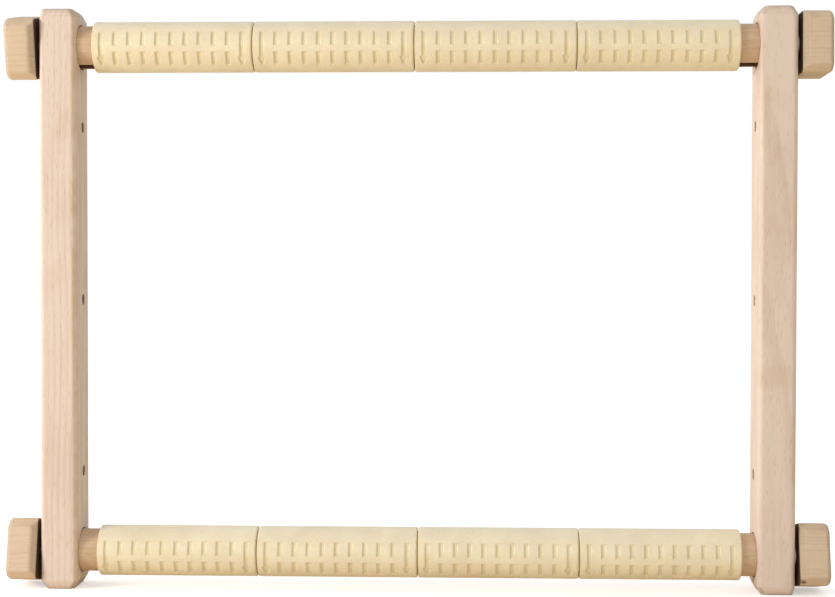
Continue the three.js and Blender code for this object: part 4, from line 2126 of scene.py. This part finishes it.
@dataclass(frozen=True)
class Studio:
    """A pale floor, soft lights and the camera at the photograph's viewing angle.

    Attributes:
        camera_place: Where the camera stands.
        yaw: How far it is turned to the right, in radians.
        pitch: How far it looks up, in radians.
        roll: How far its right side dips, in radians.
        focal_pixels: Its focal length in pixels of the photograph.
        picture_width: The photograph's width in pixels.
        sensor_width: The width of the camera's sensor, in millimetres.
        sight: The nearest and the farthest that the camera sees.
        middle: The middle of the frame, which the lights face.
        lights: A window on the left, one farther back for the faces that look left, and a front fill.
        room: The light that comes from the room all round.
        bounce: The floor's colour as the frame's undersides meet it.
        floor_tones: The floor's two colours as the camera sees it.
        floor_spots: How many spots of them fit into a metre.
        floor_glow: How much the floor shines of itself in the camera's eye.
        floor_roughness: Its roughness.
        floor_reach: How far it reaches from the middle.
    """

    camera_place: Vector = Vector((0.02826, -0.74663, 0.15393))
    yaw: float = -0.03694
    pitch: float = -0.02291
    roll: float = -0.00129
    focal_pixels: float = 1587.56
    picture_width: float = 835.0
    sensor_width: float = 36.0
    sight: tuple[float, float] = (0.01, 100.0)
    middle: Vector = Vector((0, 0, 0.136))
    lights: tuple[SoftBox, ...] = (
        SoftBox("window", Vector((-1.1, -0.56, 0.22)), size=0.25, power=7.0, tint=DAYLIGHT),
        SoftBox("side window", Vector((-1.2, 0.3, 0.19)), size=0.4, power=4.8, tint=DAYLIGHT),
        SoftBox("front fill", Vector((0.1, -2.2, 0.5)), size=1.2, power=5.4, tint=LAMPLIGHT),
    )
    room: Colour = (0.64, 0.66, 0.68, 1.0)
    bounce: Colour = (0.86, 0.74, 0.54, 1.0)
    floor_tones: tuple[Colour, Colour] = (paint(250, 249, 247), paint(248, 246, 243))
    floor_spots: float = 14.0
    floor_glow: float = 0.42
    floor_roughness: float = 0.9
    floor_reach: float = 30.0

    def set_camera(self) -> None:
        """Sets the camera up."""
        data = bpy.data.cameras.new("camera")
        data.sensor_width = self.sensor_width
        data.lens = self.focal_pixels / self.picture_width * self.sensor_width
        data.clip_start, data.clip_end = self.sight
        camera = set_down("camera", data)
        turn = (
            Matrix.Rotation(-self.yaw, 4, "Z")
            @ Matrix.Rotation(math.pi / 2 + self.pitch, 4, "X")
            @ Matrix.Rotation(-self.roll, 4, "Z")
        )
        camera.matrix_world = Matrix.Translation(self.camera_place) @ turn
        bpy.context.scene.camera = camera

    def lay_floor(self) -> None:
        """Lays the pale floor."""
        bm = bmesh.new()
        bmesh.ops.create_grid(bm, x_segments=1, y_segments=1, size=self.floor_reach)
        mesh = as_mesh(bm, "floor")
        material, graph, shader = blank_material("pale floor")
        coordinates = graph.add("ShaderNodeTexCoord")
        speck = graph.noise(coordinates.outputs["Object"], self.floor_spots)
        seen = graph.mixed(speck, *self.floor_tones)
        is_seen = graph.add("ShaderNodeLightPath").outputs["Is Camera Ray"]
        graph.feed(shader.inputs["Base Color"], graph.mixed(is_seen, self.bounce, seen))
        glow = graph.maths("MULTIPLY", is_seen, self.floor_glow)
        graph.feed(shader.inputs["Emission Strength"], glow)
        shader.inputs["Emission Color"].default_value = WHITE
        shader.inputs["Roughness"].default_value = self.floor_roughness
        mesh.materials.append(material)
        floor = set_down("floor", mesh)

    def brighten_room(self) -> None:
        """Surrounds the frame with even light, behind which the camera sees plain white."""
        world = bpy.data.worlds.new("bright room")
        world.use_nodes = True
        graph = Graph(world.node_tree)
        background = next(node for node in world.node_tree.nodes if node.type == "BACKGROUND")
        is_seen = graph.add("ShaderNodeLightPath").outputs["Is Camera Ray"]
        graph.feed(background.inputs["Color"], graph.mixed(is_seen, self.room, WHITE))
        bpy.context.scene.world = world

    def build(self) -> None:
        """Sets the whole studio up, with plain screen colours."""
        self.set_camera()
        self.lay_floor()
        for light in self.lights:
            light.hang(self.middle)
        self.brighten_room()
        bpy.context.scene.view_settings.view_transform = "Standard"


def main() -> None:
    """Builds the studio and every piece of the frame."""
    logging.basicConfig(level=logging.INFO, format="%(name)s: %(message)s")
    Studio().build()

    bar_beech = BeechFinish(
        early=paint(230, 208, 191),
        late=paint(205, 178, 156),
        fleck=paint(190, 158, 130),
        # Rub colour, also laid as painted shade on the left bar's front inner edge.
        rub=paint(204, 170, 126),
        rub_strength=0.6,
        ring_strength=0.6,
        fibre_strength=0.6,
        fleck_strength=0.3,
    )
    roller_beech = BeechFinish(
        early=paint(214, 182, 149),
        late=paint(190, 156, 122),
        fleck=paint(150, 112, 80),
        rub=paint(186, 148, 110),
        ring_width=1.8,
    )
    knob_beech = BeechFinish(
        early=paint(220, 194, 165),
        late=paint(198, 169, 139),
        fleck=paint(156, 120, 90),
        rub=paint(196, 162, 124),
        ring_width=1.7,
        ring_strength=0.5,
        fibre_strength=0.6,
        fleck_strength=0.15,
    )
    plastic = ClipPlastic().material()
    steel = TurnedMetal(
        "zinc-plated steel", paint(226, 226, 229), roughness=0.38, marks_per_millimetre=3.0
    ).material()
    brass = TurnedMetal(
        "machined brass", paint(206, 174, 104), roughness=0.32, marks_per_millimetre=4.0
    ).material()

    # The left bar's inner face looks away from the window, so it takes more painted shade on its front inner
    # edge and in its holes than the right bar.
    SideBar(
        Hand.LEFT, bar_beech, pith=Vector((64, -18, 0)), lean=(0.3, -0.5), inner_wear=1.0, hole_painted_shade=0.5
    ).build()
    SideBar(
        Hand.RIGHT, bar_beech, pith=Vector((7, -38, 0)), lean=(1.1, 0.6), inner_wear=0.2, hole_painted_shade=0.1
    ).build()
    Roller(Level.TOP, roller_beech, pith=Vector((26, 14, 0)), groove_angle=-75.0).build()
    Roller(Level.BOTTOM, roller_beech, pith=Vector((-21, 17, 0)), groove_angle=120.0).build()

    chip = (1.5 * MM, -9.5 * MM)
    ends = [
        (Level.TOP, Hand.LEFT, -10.5, Vector((27, -12, 0)), None),
        (Level.TOP, Hand.RIGHT, 1.5, Vector((45, 12, 0)), None),
        (Level.BOTTOM, Hand.LEFT, 12.0, Vector((17, -12, 0)), None),
        (Level.BOTTOM, Hand.RIGHT, 12.5, Vector((35, 12, 0)), chip),
    ]
    for level, hand, tilt, pith, nick_spot in ends:
        RollerEnd(level, hand, knob_beech, steel, brass, tilt, pith, nick_spot).build()
    ClipRow(Level.TOP, plastic, crown_angle=-10.0).build()
    ClipRow(Level.BOTTOM, plastic, crown_angle=-9.5).build()


if __name__ == "__main__":
    main()
